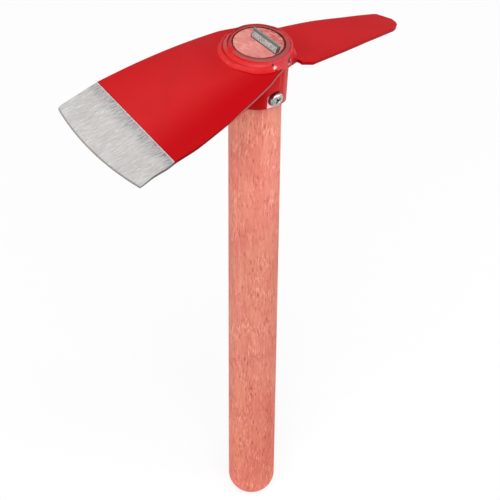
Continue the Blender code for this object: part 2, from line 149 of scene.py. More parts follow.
# Distance from the axis of the eye, then y on the near side and on the far side
REAR_ROWS = (
    (0.0100, -0.0154, 0.0154),
    (0.0160, -0.0138, 0.0138),
    (0.0201, -0.0127, 0.0127),
    (0.0207, -0.0142, 0.0142),
    (0.0210, -0.0162, 0.0162),
    (0.0270, -0.0193, 0.0197),
    (0.0333, -0.0187, 0.0191),
    (0.0430, -0.0177, 0.0181),
    (0.0535, -0.0165, 0.0169),
    (0.0640, -0.0150, 0.0150),
    (0.0740, -0.0133, 0.0130),
    (0.0860, -0.0115, 0.0111),
    (0.0970, -0.0095, 0.0091),
    (0.0989, -0.0091, 0.0084),
    (0.1016, -0.0079, 0.0047),
    (0.1037, -0.0060, 0.0018),
    (0.1048, -0.0037, 0.0002),
)

# Weld round the back of the tube, run out over the arms of the hoe blade
REAR_WELD_HALF_ANGLE = math.radians(102.6)
REAR_WELD_RADIUS = 0.0204
REAR_WELD_FLARE = 0.0034
REAR_WELD_TOP = -0.0003
REAR_WELD_FAR_DROP = 0.0020
FLARE_HALF_ANGLE = math.radians(43)
FLARE_FADE = math.radians(18)
ARM_WELD_SPREAD = 0.0042
ARM_WELD_DRAWN_IN = 0.0014
# On the far side the weld runs out less far, and bulges less
ARM_WELD_FAR_SHARE = 0.42
ARM_WELD_ROUNDING = 0.41
ARM_WELD_FAR_ROUNDING = 0.8
# How far the weld's foot lies below the rim, by degrees from the middle of the back
REAR_WELD_FOOT = ((0, 0.0114), (54, 0.0114), (74, 0.0082), (82, 0.0062), (87, 0.0040), (103, 0.0043))
# A pit in the near arm: its turn from the middle of the back, its drop and its half size, and then the
# centre and the half size of its shade
PIT_TURN = math.radians(-64.5)
PIT_DROP = 0.0052
PIT_SIZE = (0.0012, 0.0009, 0.0018)
PIT_SHADE = (
    (REAR_WELD_RADIUS * math.cos(PIT_TURN), REAR_WELD_RADIUS * math.sin(PIT_TURN), -PIT_DROP),
    (0.0016, 0.0016, 0.0030),
)

# Painted highlights on the rear weld beside its pit: centre and half size
REAR_WELD_HIGHLIGHTS = (
    ((0.0102, -0.0179, -0.0054), (0.0009, 0.0009, 0.0009)),
    ((0.0090, -0.0182, -0.0078), (0.0008, 0.0008, 0.0006)),
)
# Where the two welds meet on the near side: a painted highlight outside a notch darkened with painted shade
MEETING_HIGHLIGHT = ((-0.0050, -0.0226, -0.0025), (0.0015, 0.0021, 0.0013))
MEETING_NOTCH_SHADE = ((-0.0052, -0.0209, -0.0015), (0.0008, 0.0015, 0.0010))

# Studio
PURE_WHITE = (1, 1, 1, 1)
ROOM_LIGHT = 0.07
FLOOR_WHITE = (0.98, 0.98, 0.98, 1)
FLOOR_SIZE = 6
# How much of the floor's brightness is its own, so that the hoe's shadow stays faint
FLOOR_GLOW = 0.85
CAMERA_LENS = 150.95
CAMERA_PLACE = (-0.58134, -0.76897, 1.16492)
CAMERA_TURN = math.radians(-36.959)
CAMERA_TILT = math.radians(90 - 44.053)
CAMERA_ROLL = math.radians(0.461)
LAMPS_AIM = (0.0, 0.0, 0.26)
# Name, place, size and power
LAMPS = (
    ("left front softbox", (-1.6, -0.8, 1.3), (1.3, 1.5), 17.0),
    ("right front softbox", (1.1, -1.6, 1.0), (1.3, 1.5), 15.0),
    ("left back softbox", (-1.7, 1.0, 0.9), (1.2, 1.4), 12.0),
    ("right back softbox", (2.0, 0.2, 0.6), (1.0, 1.2), 9.0),
    ("top softbox", (-0.5, -0.9, 2.3), (1.3, 1.3), 42.0),
    ("back panel", (0.55, 1.30, 1.85), (0.5, 0.5), 0.6),
)

SOCKET_FOOT = OVERALL_HEIGHT - SOCKET_LENGTH * math.cos(HANG_ANGLE)
EYE_FRAME = (
    Matrix.Translation((0, 0, SOCKET_FOOT))
    @ Matrix.Rotation(HANG_ANGLE, 4, "Y")
    @ Matrix.Translation((0, 0, SOCKET_LENGTH))
)


# Working at the bench: how a piece is picked up, shaped and put down


def put_down():
    """Leave edit mode and let go of everything."""
    if bpy.context.object and bpy.context.object.mode == "EDIT":
        bpy.ops.object.mode_set(mode="OBJECT")
    bpy.ops.object.select_all(action="DESELECT")


def hold(piece):
    """Take one piece in hand and nothing else."""
    put_down()
    piece.select_set(True)
    bpy.context.view_layer.objects.active = piece


def take_up(name):
    """Name the primitive that was just added and open it, with nothing in it selected."""
    piece = bpy.context.object
    piece.name = name
    piece.data.name = name
    bpy.ops.object.mode_set(mode="EDIT")
    bpy.ops.mesh.select_all(action="DESELECT")
    return piece


def open_up(piece):
    """Open a piece that was put down, with all of it selected."""
    hold(piece)
    bpy.ops.object.mode_set(mode="EDIT")
    bpy.ops.mesh.select_all(action="SELECT")


def pick(piece, kind, test):
    """Select the corners, edges or faces of the open piece that pass a test."""
    bpy.ops.mesh.select_all(action="DESELECT")
    bpy.ops.mesh.select_mode(type=kind)
    mesh = bmesh.from_edit_mesh(piece.data)
    elements = {"VERT": mesh.verts, "EDGE": mesh.edges, "FACE": mesh.faces}[kind]
    for element in elements:
        if test(element):
            element.select_set(True)
    mesh.select_flush_mode()
    bmesh.update_edit_mesh(piece.data)


def put_corner(piece, index, place):
    """Move one corner of the open piece to its place."""
    pick(piece, "VERT", lambda vert: vert.index == index)
    mesh = bmesh.from_edit_mesh(piece.data)
    mesh.verts.ensure_lookup_table()
    bpy.ops.transform.translate(value=Vector(place) - mesh.verts[index].co)


def finish_with(piece, kind, **settings):
    """Add a modifier and apply it."""
    hold(piece)
    modifier = piece.modifiers.new(kind.title(), kind)
    for name, value in settings.items():
        setattr(modifier, name, value)
    bpy.ops.object.modifier_apply(modifier=modifier.name)


def weigh(piece, share):
    """Keep a share from 0 to 1 at each corner of a piece, worked out from its place."""
    group = piece.vertex_groups.new(name="share")
    for vert in piece.data.vertices:
        group.add([vert.index], min(max(share(vert.co), 0), 1), "REPLACE")
    return group.name


def displace(piece, group, direction, distance):
    """Move a piece's corners along x, y or z by the shares that they keep."""
    finish_with(
        piece, "DISPLACE", direction=direction, strength=distance, mid_level=0, vertex_group=group
    )


def push(piece, share, **distances):
    """Push a piece's corners along X, Y or Z, each by its own share of a distance."""
    group = weigh(piece, share)
    for direction, distance in distances.items():
        displace(piece, group, direction, distance)
    piece.vertex_groups.clear()


def spread(piece, distance, share):
    """Push a piece's corners away from the axis of the eye, each by its own share of a distance."""
    sides = [(axis, sign) for axis in (0, 1) for sign in (1, -1)]
    groups = [
        weigh(piece, lambda place: share(place) * (sign * place[axis] / place.xy.length))
        for axis, sign in sides
    ]
    for group, (axis, sign) in zip(groups, sides):
        displace(piece, group, "XY"[axis], sign * distance)
    piece.vertex_groups.clear()


def roughen(piece, depth, grain, share=lambda place: 1):
    """Give a surface the small humps and hollows of worked metal or pared wood."""
    lumps = bpy.data.textures.new("lumps", "CLOUDS")
    lumps.noise_scale = grain
    lumps.noise_depth = 2
    group = weigh(piece, share)
    finish_with(
        piece,
        "DISPLACE",
        texture=lumps,
        texture_coords="LOCAL",
        strength=depth,
        mid_level=0.5,
        vertex_group=group,
    )
    piece.vertex_groups.clear()


def close_up(piece):
    """Merge what lies on itself and turn every face outward."""
    open_up(piece)
    bpy.ops.mesh.remove_doubles(threshold=MERGE_DISTANCE)
    bpy.ops.mesh.normals_make_consistent(inside=False)
    put_down()


def break_edges(piece, width, segments=2, sharper_than=30):
    """Bevel the edges that are sharper than an angle."""
    finish_with(
        piece,
        "BEVEL",
        width=width,
        segments=segments,
        limit_method="ANGLE",
        angle_limit=math.radians(sharper_than),
    )


def hollow_out(piece, cutter):
    """Cut one piece out of another."""
    finish_with(piece, "BOOLEAN", operation="DIFFERENCE", solver="EXACT", object=cutter)
    bpy.data.objects.remove(cutter)


def lean_onto_handle(piece):
    """Move a piece of the head from the eye's own frame to its place on the handle."""
    piece.data.transform(EYE_FRAME)
    piece.data.update()


def dress(piece, angle, material, name):
    """Shade a piece smooth up to an angle, give it its material and let it stand for its node."""
    hold(piece)
    bpy.ops.object.shade_smooth_by_angle(angle=math.radians(angle))
    piece.data.materials.clear()
    piece.data.materials.append(material)
    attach(piece, "root")
    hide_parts(name)


def turn_profile(name, profile, sides, whole=False):
    """Pull a ring out into a turned piece, one extrusion for each point (radius, height) of its profile."""
    put_down()
    radius, height = profile[0]
    bpy.ops.mesh.primitive_circle_add(vertices=sides, radius=radius, location=(0, 0, height))
    bpy.ops.object.transform_apply()
    piece = take_up(name)
    bpy.ops.mesh.select_all(action="SELECT")
    if not whole:
        bpy.ops.mesh.edge_face_add()
        pick(piece, "EDGE", lambda edge: True)
    points = list(profile[1:]) + ([profile[0]] if whole else [])
    for next_radius, next_height in points:
        bpy.ops.mesh.extrude_edges_move(TRANSFORM_OT_translate={"value": (0, 0, next_height - height)})
        scale = next_radius / radius
        bpy.ops.transform.resize(value=(scale, scale, 1), center_override=(0, 0, next_height))
        radius, height = next_radius, next_height
    if not whole:
        bpy.ops.mesh.edge_face_add()
    close_up(piece)
    return piece


def pull_strip(name, rows, columns):
    """Pull an edge out into a sheet, one extrusion for each row, and divide it across.

    A row is its x, its near y, its far y and its z.
    """
    put_down()
    x, near, far, z = rows[0]
    bpy.ops.mesh.primitive_plane_add(size=far - near, location=(x, (near + far) / 2, z))
    bpy.ops.object.transform_apply()
    piece = take_up(name)
    pick(piece, "VERT", lambda vert: vert.co.x < x)
    bpy.ops.mesh.delete(type="VERT")
    pick(piece, "EDGE", lambda edge: True)
    bpy.ops.transform.translate(value=(-(far - near) / 2, 0, 0))
    for next_x, next_near, next_far, next_z in rows[1:]:
        middle = (next_near + next_far) / 2
        step = (next_x - x, middle - (near + far) / 2, next_z - z)
        bpy.ops.mesh.extrude_edges_move(TRANSFORM_OT_translate={"value": step})
        widening = (next_far - next_near) / (far - near)
        bpy.ops.transform.resize(value=(1, widening, 1), center_override=(next_x, middle, next_z))
        x, near, far, z = next_x, next_near, next_far, next_z
    pick(piece, "EDGE", lambda edge: abs(edge.verts[0].co.x - edge.verts[1].co.x) < MERGE_DISTANCE)
    bpy.ops.mesh.subdivide(number_cuts=columns - 1)
    close_up(piece)
    if piece.data.polygons[0].normal.z < 0:
        open_up(piece)
        bpy.ops.mesh.flip_normals()
        put_down()
    return piece


def spin_section(name, section, start, end, steps):
    """Spin a section (radius, height) round the axis of the eye, and cap both its ends."""
    put_down()
    bpy.ops.mesh.primitive_circle_add(vertices=len(section), radius=0.001)
    piece = take_up(name)
    for index, (radius, height) in enumerate(section):
        put_corner(piece, index, (radius * math.cos(start), radius * math.sin(start), height))
    bpy.ops.mesh.select_all(action="SELECT")
    bpy.ops.mesh.spin(steps=steps, angle=start - end, center=(0, 0, 0), axis=(0, 0, 1))
    for angle in (start, end):
        outward = Vector((math.cos(angle), math.sin(angle), 0))
        across = Vector((-math.sin(angle), math.cos(angle), 0))
        pick(
            piece,
            "VERT",
            lambda vert: abs(vert.co.dot(across)) < MERGE_DISTANCE and vert.co.dot(outward) > 0,
        )
        bpy.ops.mesh.edge_face_add()
    close_up(piece)
    return piece


def make_plug(name, radius, low, high, sides):
    """A plain round plug along z, to cut with."""
    put_down()
    bpy.ops.mesh.primitive_cylinder_add(
        vertices=sides, radius=radius, depth=high - low, location=(0, 0, (low + high) / 2)
    )
    bpy.ops.object.transform_apply()
    plug = bpy.context.object
    plug.name = name
    return plug


def ease(share):
    """Rise smoothly from 0 to 1 as share does."""
    share = min(max(share, 0), 1)
    return share * share * (3 - 2 * share)


def read_off(points, at):
    """The value at a place on a line drawn through points (place, value)."""
    for (start, low), (end, high) in zip(points, points[1:]):
        if at <= end:
            return low + (high - low) * max(at - start, 0) / (end - start)
    return points[-1][1]


# Node trees written as sums


class Wire:
    """A socket of a node tree, or a number, that can be added, multiplied and so on."""

    def __init__(self, tree, value):
        self.tree = tree
        self.value = value

    def maths(self, operation, *others, clamp=False):
        """Run a Math node on this value and others."""
        settings = {"operation": operation, "use_clamp": clamp}
        return node(self.tree, "ShaderNodeMath", settings, self, *others)

    def __add__(self, other):
        return self.maths("ADD", other)

    __radd__ = __add__

    def __sub__(self, other):
        return self.maths("SUBTRACT", other)

    def __rsub__(self, other):
        return Wire(self.tree, other).maths("SUBTRACT", self)

    def __mul__(self, other):
        return self.maths("MULTIPLY", other)

    __rmul__ = __mul__

    def __truediv__(self, other):
        return self.maths("DIVIDE", other)

    def __rtruediv__(self, other):
        return Wire(self.tree, other).maths("DIVIDE", self)

    def __neg__(self):
        return self.maths("MULTIPLY", -1.0)

    def __abs__(self):
        return self.maths("ABSOLUTE")


def node(tree, kind, settings, *values, out=0, **named):
    """Add a node: its settings first, then the values or links of its sockets, by order or by name."""
    made = tree.nodes.new(kind)
    for name, value in settings.items():
        setattr(made, name, value)
    sockets = list(zip(made.inputs, values))
    sockets += [(made.inputs[name.replace("_", " ")], value) for name, value in named.items()]
    for socket, value in sockets:
        value = value.value if isinstance(value, Wire) else value
        if isinstance(value, bpy.types.NodeSocket):
            tree.links.new(value, socket)
        elif value is not None:
            socket.default_value = value
    return Wire(tree, made.outputs[out]) if made.outputs else None


class Finish:
    """One material and the nodes that it is made of."""

    def __init__(self, name):
        self.material = bpy.data.materials.new(name)
        self.material.use_nodes = True
        self.tree = self.material.node_tree
        self.tree.nodes.clear()
        self.place = self.add("ShaderNodeTexCoord", {}, out="Object")

    def add(self, kind, settings, *values, out=0, **named):
        """Add any node."""
        return node(self.tree, kind, settings, *values, out=out, **named)

    def head_place(self):
        """Places in the eye's own frame."""
        back = EYE_FRAME.inverted()
        moved, turned = tuple(back.translation), tuple(back.to_euler())
        return self.add("ShaderNodeMapping", {}, self.place, moved, turned)

    def split(self, vector):
        """The x, y and z of a vector."""
        x = self.add("ShaderNodeSeparateXYZ", {}, vector)
        return [Wire(self.tree, output) for output in x.value.node.outputs]

    def facing(self):
        """How far the surface faces along x, y and z, each from -1 to 1."""
        return self.split(self.add("ShaderNodeNewGeometry", {}, out="Normal"))

    def stretch(self, vector, scale):
        """Multiply a place by a scale along each axis."""
        return self.add("ShaderNodeVectorMath", {"operation": "MULTIPLY"}, vector, scale)

    def distance(self, place, centre, scale=(1, 1, 1)):
        """Distance of a place from a centre, with a scale along each axis."""
        away = self.add("ShaderNodeVectorMath", {"operation": "SUBTRACT"}, place, centre)
        return self.add("ShaderNodeVectorMath", {"operation": "LENGTH"}, self.stretch(away, scale), out=1)

    def radius(self, place):
        """Distance from the z axis."""
        return self.distance(place, (0, 0, 0), (1, 1, 0))

    def noise(self, place, scale, detail=3.0, roughness=0.55, distortion=0.0, turn=0, stretch=None):
        """Soft noise from about 0.2 to 0.8, turned round z by degrees and stretched where that is given."""
        if turn:
            place = self.add("ShaderNodeMapping", {}, place, None, (0, 0, math.radians(turn)))
        if stretch:
            place = self.stretch(place, stretch)
        return self.add(
            "ShaderNodeTexNoise",
            {"noise_dimensions": "3D"},
            Vector=place,
            Scale=scale,
            Detail=detail,
            Roughness=roughness,
            Distortion=distortion,
        )

    def rise(self, value, start, end):
        """0 below start, 1 above end, and smooth between them."""
        settings = {"interpolation_type": "SMOOTHSTEP"}
        return self.add("ShaderNodeMapRange", settings, value, start, end, 0.0, 1.0)

    def spot(self, place, centre, size):
        """1 at a point, and 0 outside a ball round it that is stretched to a half size along each axis."""
        return self.rise(self.distance(place, centre, tuple(1 / half for half in size)), 1.0, 0.45)

    def line(self, value, middle, half):
        """1 where a value is at its middle, falling to 0 at half a line's width from it."""
        return self.rise(abs(value - middle), half, half * 0.3)

    def blend(self, share, first, second, how="MIX"):
        """Mix two colours by a share. They come after the Mix node's other five inputs."""
        colours = [(*value, 1) if isinstance(value, tuple) else value for value in (first, second)]
        settings = {"data_type": "RGBA", "blend_type": how}
        return self.add("ShaderNodeMix", settings, share, *[None] * 5, *colours, out=2)

    def wash(self, colour, *washes, how="MIX"):
        """Lay washes over a colour, each a share and the colour that it brings."""
        for share, tint in washes:
            colour = self.blend(share, colour, tint, how)
        return colour

    def bump(self, height, distance, strength):
        """Turn a height from 0 to 1 into a bumpy normal, with this many metres from 0 to 1."""
        return self.add("ShaderNodeBump", {}, Strength=strength, Distance=distance, Height=height)

    def mix_bumps(self, share, first, second):
        """Mix two bumpy normals by a share."""
        return self.add("ShaderNodeMix", {"data_type": "VECTOR"}, share, *[None] * 3, first, second, out=1)

    def surface(self, colour, roughness, metallic, normal, specular=0.5):
        """Finish the material with one shader."""
        shader = self.add(
            "ShaderNodeBsdfPrincipled",
            {},
            Base_Color=colour,
            Roughness=roughness,
            Metallic=metallic,
            Normal=normal,
            Specular_IOR_Level=specular,
        )
        self.add("ShaderNodeOutputMaterial", {}, shader)
        return self.material


# Finishes


def behind_wedge(x, y):
    """How far a place lies behind the middle of the wedge."""
    return x - WEDGE_CENTRE[0] + (y - WEDGE_CENTRE[1]) * math.tan(WEDGE_TURN)


def above_foot(finish, head):
    """How far a place lies above the slanting foot of the tube."""
    x, _, z = finish.split(head)
    behind_eye = (x / finish.radius(head)).maths("MAXIMUM", 0.0)
    return z + behind_eye * behind_eye * FOOT_SLANT + SOCKET_LENGTH


def handle_wood():
    """Reddish hardwood: soft bands, fine fibres, short dark pores with pale rims, and end grain on top."""
    wood = Finish("handle hardwood")
    head = wood.head_place()
    hx, hy, hz = wood.split(head)
    x, y, z = wood.split(wood.place)
    bands = wood.noise(wood.place, 170.0, 3.0, 0.5, 0.6, stretch=(1.0, 1.0, 0.05))
    patches = wood.noise(wood.place, 55.0, 2.0, 0.5, stretch=(1.0, 1.0, 0.5))
    strands = wood.noise(wood.place, 650.0, 4.0, 0.62, 0.3, stretch=(1.0, 1.0, 0.16))
    flecks = wood.noise(wood.place, 1050.0, 3.0, 0.65, stretch=(1.0, 1.0, 0.20))
    worked = wood.rise(wood.noise(wood.place, 75.0, stretch=(1.0, 1.0, 0.6)), 0.38, 0.60)
    scattered = wood.stretch(wood.place, (1.0, 1.0, 0.20))
    cells = wood.add("ShaderNodeTexVoronoi", {"feature": "F1"}, Vector=scattered, Scale=480.0)
    pores = wood.rise(cells, 0.30, 0.14) * wood.rise(wood.noise(wood.place, 120.0), 0.47, 0.58)
    colour = wood.wash(
        wood.blend(wood.rise(patches, 0.36, 0.64), (0.655, 0.195, 0.150), (0.690, 0.240, 0.165)),
        (wood.rise(bands, 0.46, 0.70) * 0.35, (0.590, 0.150, 0.105)),
        (wood.rise(strands, 0.52, 0.70) * 0.60, (0.820, 0.330, 0.255)),
        (wood.rise(strands, 0.47, 0.30) * 0.65, (0.500, 0.120, 0.085)),
        (wood.rise(flecks, 0.54, 0.68) * worked * 0.70, (0.900, 0.420, 0.320)),
        (wood.rise(flecks, 0.47, 0.33) * worked * 0.75, (0.430, 0.090, 0.060)),
        (pores * 0.75, (0.390, 0.080, 0.052)),
    )
    # Painted light and shade across the handle as the camera sees it: darker in the middle and lower right,
    # lighter at the lower left; painted light on the upper handle, more at its right and, where the head's
    # shadow falls, on its left just below the head; painted shade at its upper left. Paler on the dome and
    # deeper toward the butt
    across = x * 0.8 - y * 0.6
    left, right = wood.rise(across, -0.004, -0.012), wood.rise(across, 0.006, 0.014)
    upper = wood.rise(z, 0.23, 0.31)
    colour = wood.wash(
        colour,
        (1.0, (0.945, 0.935, 0.920)),
        (wood.line(across, 0.001, 0.012) * 0.6, (0.930, 0.915, 0.910)),
        (right * wood.rise(z, 0.31, 0.25), (0.985, 0.90, 0.87)),
        (wood.rise(z, 0.030, 0.010), (1.13, 1.15, 1.17)),
        (left * wood.rise(z, 0.10, 0.07), (1.06, 1.08, 1.09)),
        (upper, (1.14, 1.12, 1.11)),
        (upper * wood.rise(across, 0.003, 0.010), (1.05, 1.12, 1.14)),
        (wood.rise(z, 0.20, 0.25) * wood.rise(across, 0.001, -0.007), (0.95, 0.92, 0.92)),
        (wood.rise(z, 0.328, 0.350) * wood.rise(across, 0.004, -0.004), (1.13, 1.15, 1.15)),
        (wood.rise(z, 0.17, 0.05), (0.99, 0.86, 0.82)),
        how="MULTIPLY",
    )
    # Painted shade: a dark line where the slanting foot of the tube sits on the wood
    tube_foot_shade = wood.line(above_foot(wood, head), -0.0004, 0.0009)
    colour = wood.blend(tube_foot_shade * 0.85, colour, (0.130, 0.032, 0.014))
    # End grain, a little darker on its near side, with the wedge's shadow painted behind it in dark streaks
    grain = wood.noise(head, 1500.0, 3.0, 0.65)
    rays = wood.noise(head, 1000.0, 3.0, 0.6, turn=-28, stretch=(1.0, 0.25, 1.0))
    clouds = wood.noise(head, 210.0, 2.0, 0.5)
    end = wood.wash(
        wood.blend(wood.rise(clouds, 0.36, 0.64), (0.665, 0.240, 0.212), (0.727, 0.292, 0.254)),
        (wood.rise(rays, 0.54, 0.68) * 0.60, (0.880, 0.380, 0.330)),
        (wood.rise(rays, 0.46, 0.34) * 0.65, (0.540, 0.130, 0.110)),
        (wood.rise(grain, 0.44, 0.32) * 0.70, (0.420, 0.090, 0.080)),
    )
    end = wood.blend(wood.rise(hy, -0.002, -0.010), end, (0.97, 0.88, 0.90), "MULTIPLY")
    behind = wood.rise(behind_wedge(hx, hy), 0.0009, 0.0018)
    shadow_streaks = wood.noise(head, 900.0, 3.0, 0.7, turn=55, stretch=(0.4, 1.0, 1.0))
    end = wood.blend(behind * wood.rise(shadow_streaks, 0.56, 0.42) * 0.75, end, (0.360, 0.045, 0.040))
    colour = wood.blend(wood.rise(hz, -0.0030, -0.0014), colour, end)
    # Painted shade: the dark, broken line in the gap between the pared wood and the tube
    ragged = wood.noise(head, 700.0, 3.0, 0.7)
    gap_shade = wood.rise(wood.radius(head) + (ragged - 0.5) * 0.0010 - hy * 0.025, 0.0148, 0.0150)
    colour = wood.blend(gap_shade * wood.rise(hz, -0.0060, -0.0030) * 0.92, colour, (0.085, 0.008, 0.006))
    normal = wood.bump(strands * 0.4 + flecks * 0.5 - pores * 0.8, 0.00022, 0.8)
    roughness = 0.62 + bands * 0.12 - wood.rise(patches, 0.4, 0.7) * 0.06
    return wood.surface(colour, roughness, 0.0, normal, specular=0.25)


def paint_colour(paint, deep, pale):
    """The enamel's red, a little deeper in places."""
    clouds = paint.noise(paint.place, 38.0, 2.0, 0.5)
    dust = paint.noise(paint.place, 900.0, 2.0, 0.6)
    colour = paint.blend(paint.rise(clouds, 0.35, 0.65), deep, pale)
    return paint.blend(paint.rise(dust, 0.45, 0.75) * 0.10, colour, (0.590, 0.009, 0.012))


def paint_normal(paint):
    """The enamel's orange peel."""
    return paint.bump(paint.noise(paint.place, 420.0, 2.0, 0.5), 0.000020, 0.6)


def ground_steel(finish, place, past_line):
    """Bare steel with the short crossed scratches of a grinder, rougher and darker beside the paint, and a
    pale painted highlight along the paint's edge.
    """
    tone = finish.noise(place, 60.0, 2.0, stretch=(0.35, 1.0, 0.5))
    scratches = finish.noise(place, 2000.0, 3.0, 0.65, turn=18, stretch=(0.07, 1.0, 0.2))
    crossed = finish.noise(place, 1500.0, 3.0, 0.62, turn=11, stretch=(0.09, 1.0, 0.2))
    blotches = finish.noise(place, 620.0, 3.0, 0.7, stretch=(0.5, 1.0, 0.6))
    dashes = finish.noise(place, 1300.0, 4.0, 0.7, turn=14, stretch=(0.14, 1.0, 0.2))
    width = finish.noise(place, 700.0, 3.0, 0.65, turn=14, stretch=(0.2, 1.0, 0.2)) - 0.5
    beside = finish.rise(past_line + width * 0.012, 0.0090, 0.0005)
    # A pale painted highlight along the edge of the paint
    paint_edge_highlight = finish.rise(past_line + width * 0.0008, 0.0006, 0.0002)
    steel = finish.wash(
        finish.blend(finish.rise(tone, 0.35, 0.65), (0.480, 0.465, 0.452), (0.530, 0.515, 0.500)),
        (finish.rise(scratches, 0.50, 0.34) * 0.75, (0.350, 0.342, 0.335)),
        (finish.rise(crossed, 0.53, 0.68) * 0.85, (0.670, 0.655, 0.638)),
        (finish.rise(blotches, 0.47, 0.34) * 0.36, (0.360, 0.352, 0.345)),
        (beside * 0.42, (0.320, 0.312, 0.325)),
        (beside * finish.rise(dashes, 0.53, 0.42) * 0.75, (0.150, 0.146, 0.162)),
        (paint_edge_highlight * 0.60, (0.760, 0.680, 0.690)),
    )
    return steel, scratches, finish.bump(scratches * 0.5 + crossed * 0.5, 0.00006, 0.5)


def hoe_blade_finish():
    """Red enamel up to a straight line, and ground steel from there to the edge."""
    finish = Finish("hoe blade enamel and ground steel")
    place = finish.head_place()
    x, y, z = finish.split(place)
    up = finish.facing()[2]
    reach = -x
    past_line = reach + y * GROUND_LINE_TILT - GROUND_LINE
    ragged = finish.noise(place, 900.0, 2.0, stretch=(0.3, 1.0, 0.3)) - 0.5
    ground = finish.rise(past_line + ragged * 0.0006, -0.00010, 0.00012) * finish.rise(up, -0.45, -0.30)
    steel, scratches, grooves = ground_steel(finish, place, past_line)
    # The steel is darker on its near side, with painted shade on the plate's edge and at the very front of
    # the cutting edge
    bow = EDGE_BULGE / blade_half_width(BLADE_REACH) ** 2
    from_edge = BLADE_REACH + EDGE_BULGE - y * y * bow - reach
    steel = finish.wash(
        steel,
        (finish.rise(y, 0.010, -0.036) * 0.06, (0.0, 0.0, 0.0)),
        (finish.rise(up, 0.86, 0.70) * 0.9, (0.100, 0.104, 0.098)),
        (finish.rise(from_edge, 0.0010, 0.0005) * 0.65, (0.150, 0.152, 0.146)),
    )
    # Painted light and shade on the enamel: deeper toward both sides and beside the tube and the weld, which
    # leaves a painted highlight down the middle, the weld's painted shadow on the near side, and painted
    # shade along the ground line
    across = y / (reach * 0.155 + 0.026)
    deep = finish.rise(across, 0.15, 1.15) * 0.45 + finish.rise(across, 0.0, -0.9)
    deep = deep.maths("MAXIMUM", finish.rise(reach, 0.052, 0.024) * 0.45)
    weld_shadow = finish.line(finish.radius(place), 0.0247, 0.0009) * finish.rise(y, -0.004, -0.012)
    enamel = finish.wash(
        paint_colour(finish, (0.497, 0.0144, 0.0168), (0.536, 0.0158, 0.0184)),
        (deep, (0.440, 0.0016, 0.0044)),
        (weld_shadow * 0.55, (0.300, 0.0010, 0.0020)),
        (finish.rise(past_line, -0.0007, -0.0002) * 0.6, (0.230, 0.0010, 0.0020)),
    )
    # The plate's edge: a pale painted highlight between dark lines of painted shade, and all in painted
    # shade beside the tube
    side = finish.rise(up, 0.62, 0.40)
    by_eye = finish.rise(reach, 0.056, 0.038)
    depth = -z - SIDE_DROP - reach * SIDE_SLOPE - reach * reach * SIDE_BEND
    edge_highlight_and_shade = finish.blend(finish.rise(depth, 0.0011, 0.0016), (0.230, 0.004, 0.003), (0.560, 0.085, 0.074))
    edge_highlight_and_shade = finish.blend(finish.rise(depth, 0.0028, 0.0032), edge_highlight_and_shade, (0.100, 0.004, 0.004))
    colour = finish.wash(
        enamel,
        (side, finish.blend(by_eye, (0.210, 0.0010, 0.0030), edge_highlight_and_shade)),
        # A painted highlight where the two welds meet
        (finish.spot(place, *MEETING_HIGHLIGHT) * 0.8, (0.900, 0.620, 0.600)),
        (ground, steel),
    )
    roughness = 0.34 + ground * (0.12 + scratches * 0.16) + side * (1 - ground) * 0.30
    metallic = (ground * 0.2).maths("MAXIMUM", side * (1 - by_eye) * 0.3)
    normal = finish.mix_bumps(ground, paint_normal(finish), grooves)
    return finish.surface(colour, roughness, metallic, normal, specular=0.07)


def rear_blade_finish():
    """Red enamel, with painted shade on the edges of the plate."""
    finish = Finish("rear blade enamel")
    side = finish.rise(finish.facing()[2], 0.62, 0.40)
    enamel = paint_colour(finish, (0.500, 0.0096, 0.0126), (0.535, 0.0112, 0.0146))
    # Painted shade on the plate's edges
    colour = finish.blend(side * 0.8, enamel, (0.300, 0.0022, 0.0045))
    return finish.surface(colour, 0.34, side * 0.5, paint_normal(finish), specular=0.05)


def weld_finish(name, reds, highlights, pits, specular, groove=None):
    """Red enamel over metal laid by hand: dark in its hollows, duller on the near arm, with painted shade
    in its groove and pits and painted highlights in places.
    """
    finish = Finish(name)
    head = finish.head_place()
    x, y, z = finish.split(head)
    radius = finish.radius(head)
    clouds = finish.noise(finish.place, 260.0, 2.0, 0.5)
    hollows = finish.noise(finish.place, 520.0, 3.0, 0.6)
    by_arm = finish.rise(x, -0.0080, -0.0040) * finish.rise(x, 0.0120, 0.0070)
    near_arm = by_arm * finish.rise(y, -0.014, -0.018)
    far_dust = finish.rise(y, 0.0040, 0.0110) * finish.rise(radius, 0.0214, 0.0204)
    colour = finish.wash(
        finish.blend(finish.rise(clouds, 0.38, 0.64), *reds),
        (near_arm * 0.9, (0.500, 0.040, 0.048)),
        (far_dust * finish.rise(z, -0.0045, -0.0025) * 0.7, (0.440, 0.072, 0.068)),
        (finish.rise(hollows, 0.44, 0.30) * 0.25, (0.380, 0.006, 0.008)),
    )
    if groove:
        # Painted shade along the groove
        wander = (finish.noise(head, 160.0, 2.0) - 0.5) * 0.0006
        groove_shade = finish.line(radius + wander, groove, 0.0009)
        colour = finish.blend(groove_shade * 0.90, colour, (0.420, 0.0020, 0.0024))
    # Painted shade in the pits, and painted highlights
    colour = finish.wash(
        colour,
        *[(finish.spot(head, *pit), (0.020, 0.002, 0.002)) for pit in pits],
        *[(finish.spot(head, *highlight) * 0.85, (0.900, 0.700, 0.660)) for highlight in highlights],
    )
    return finish.surface(colour, 0.48, 0.0, finish.bump(hollows, 0.00007, 0.6), specular)


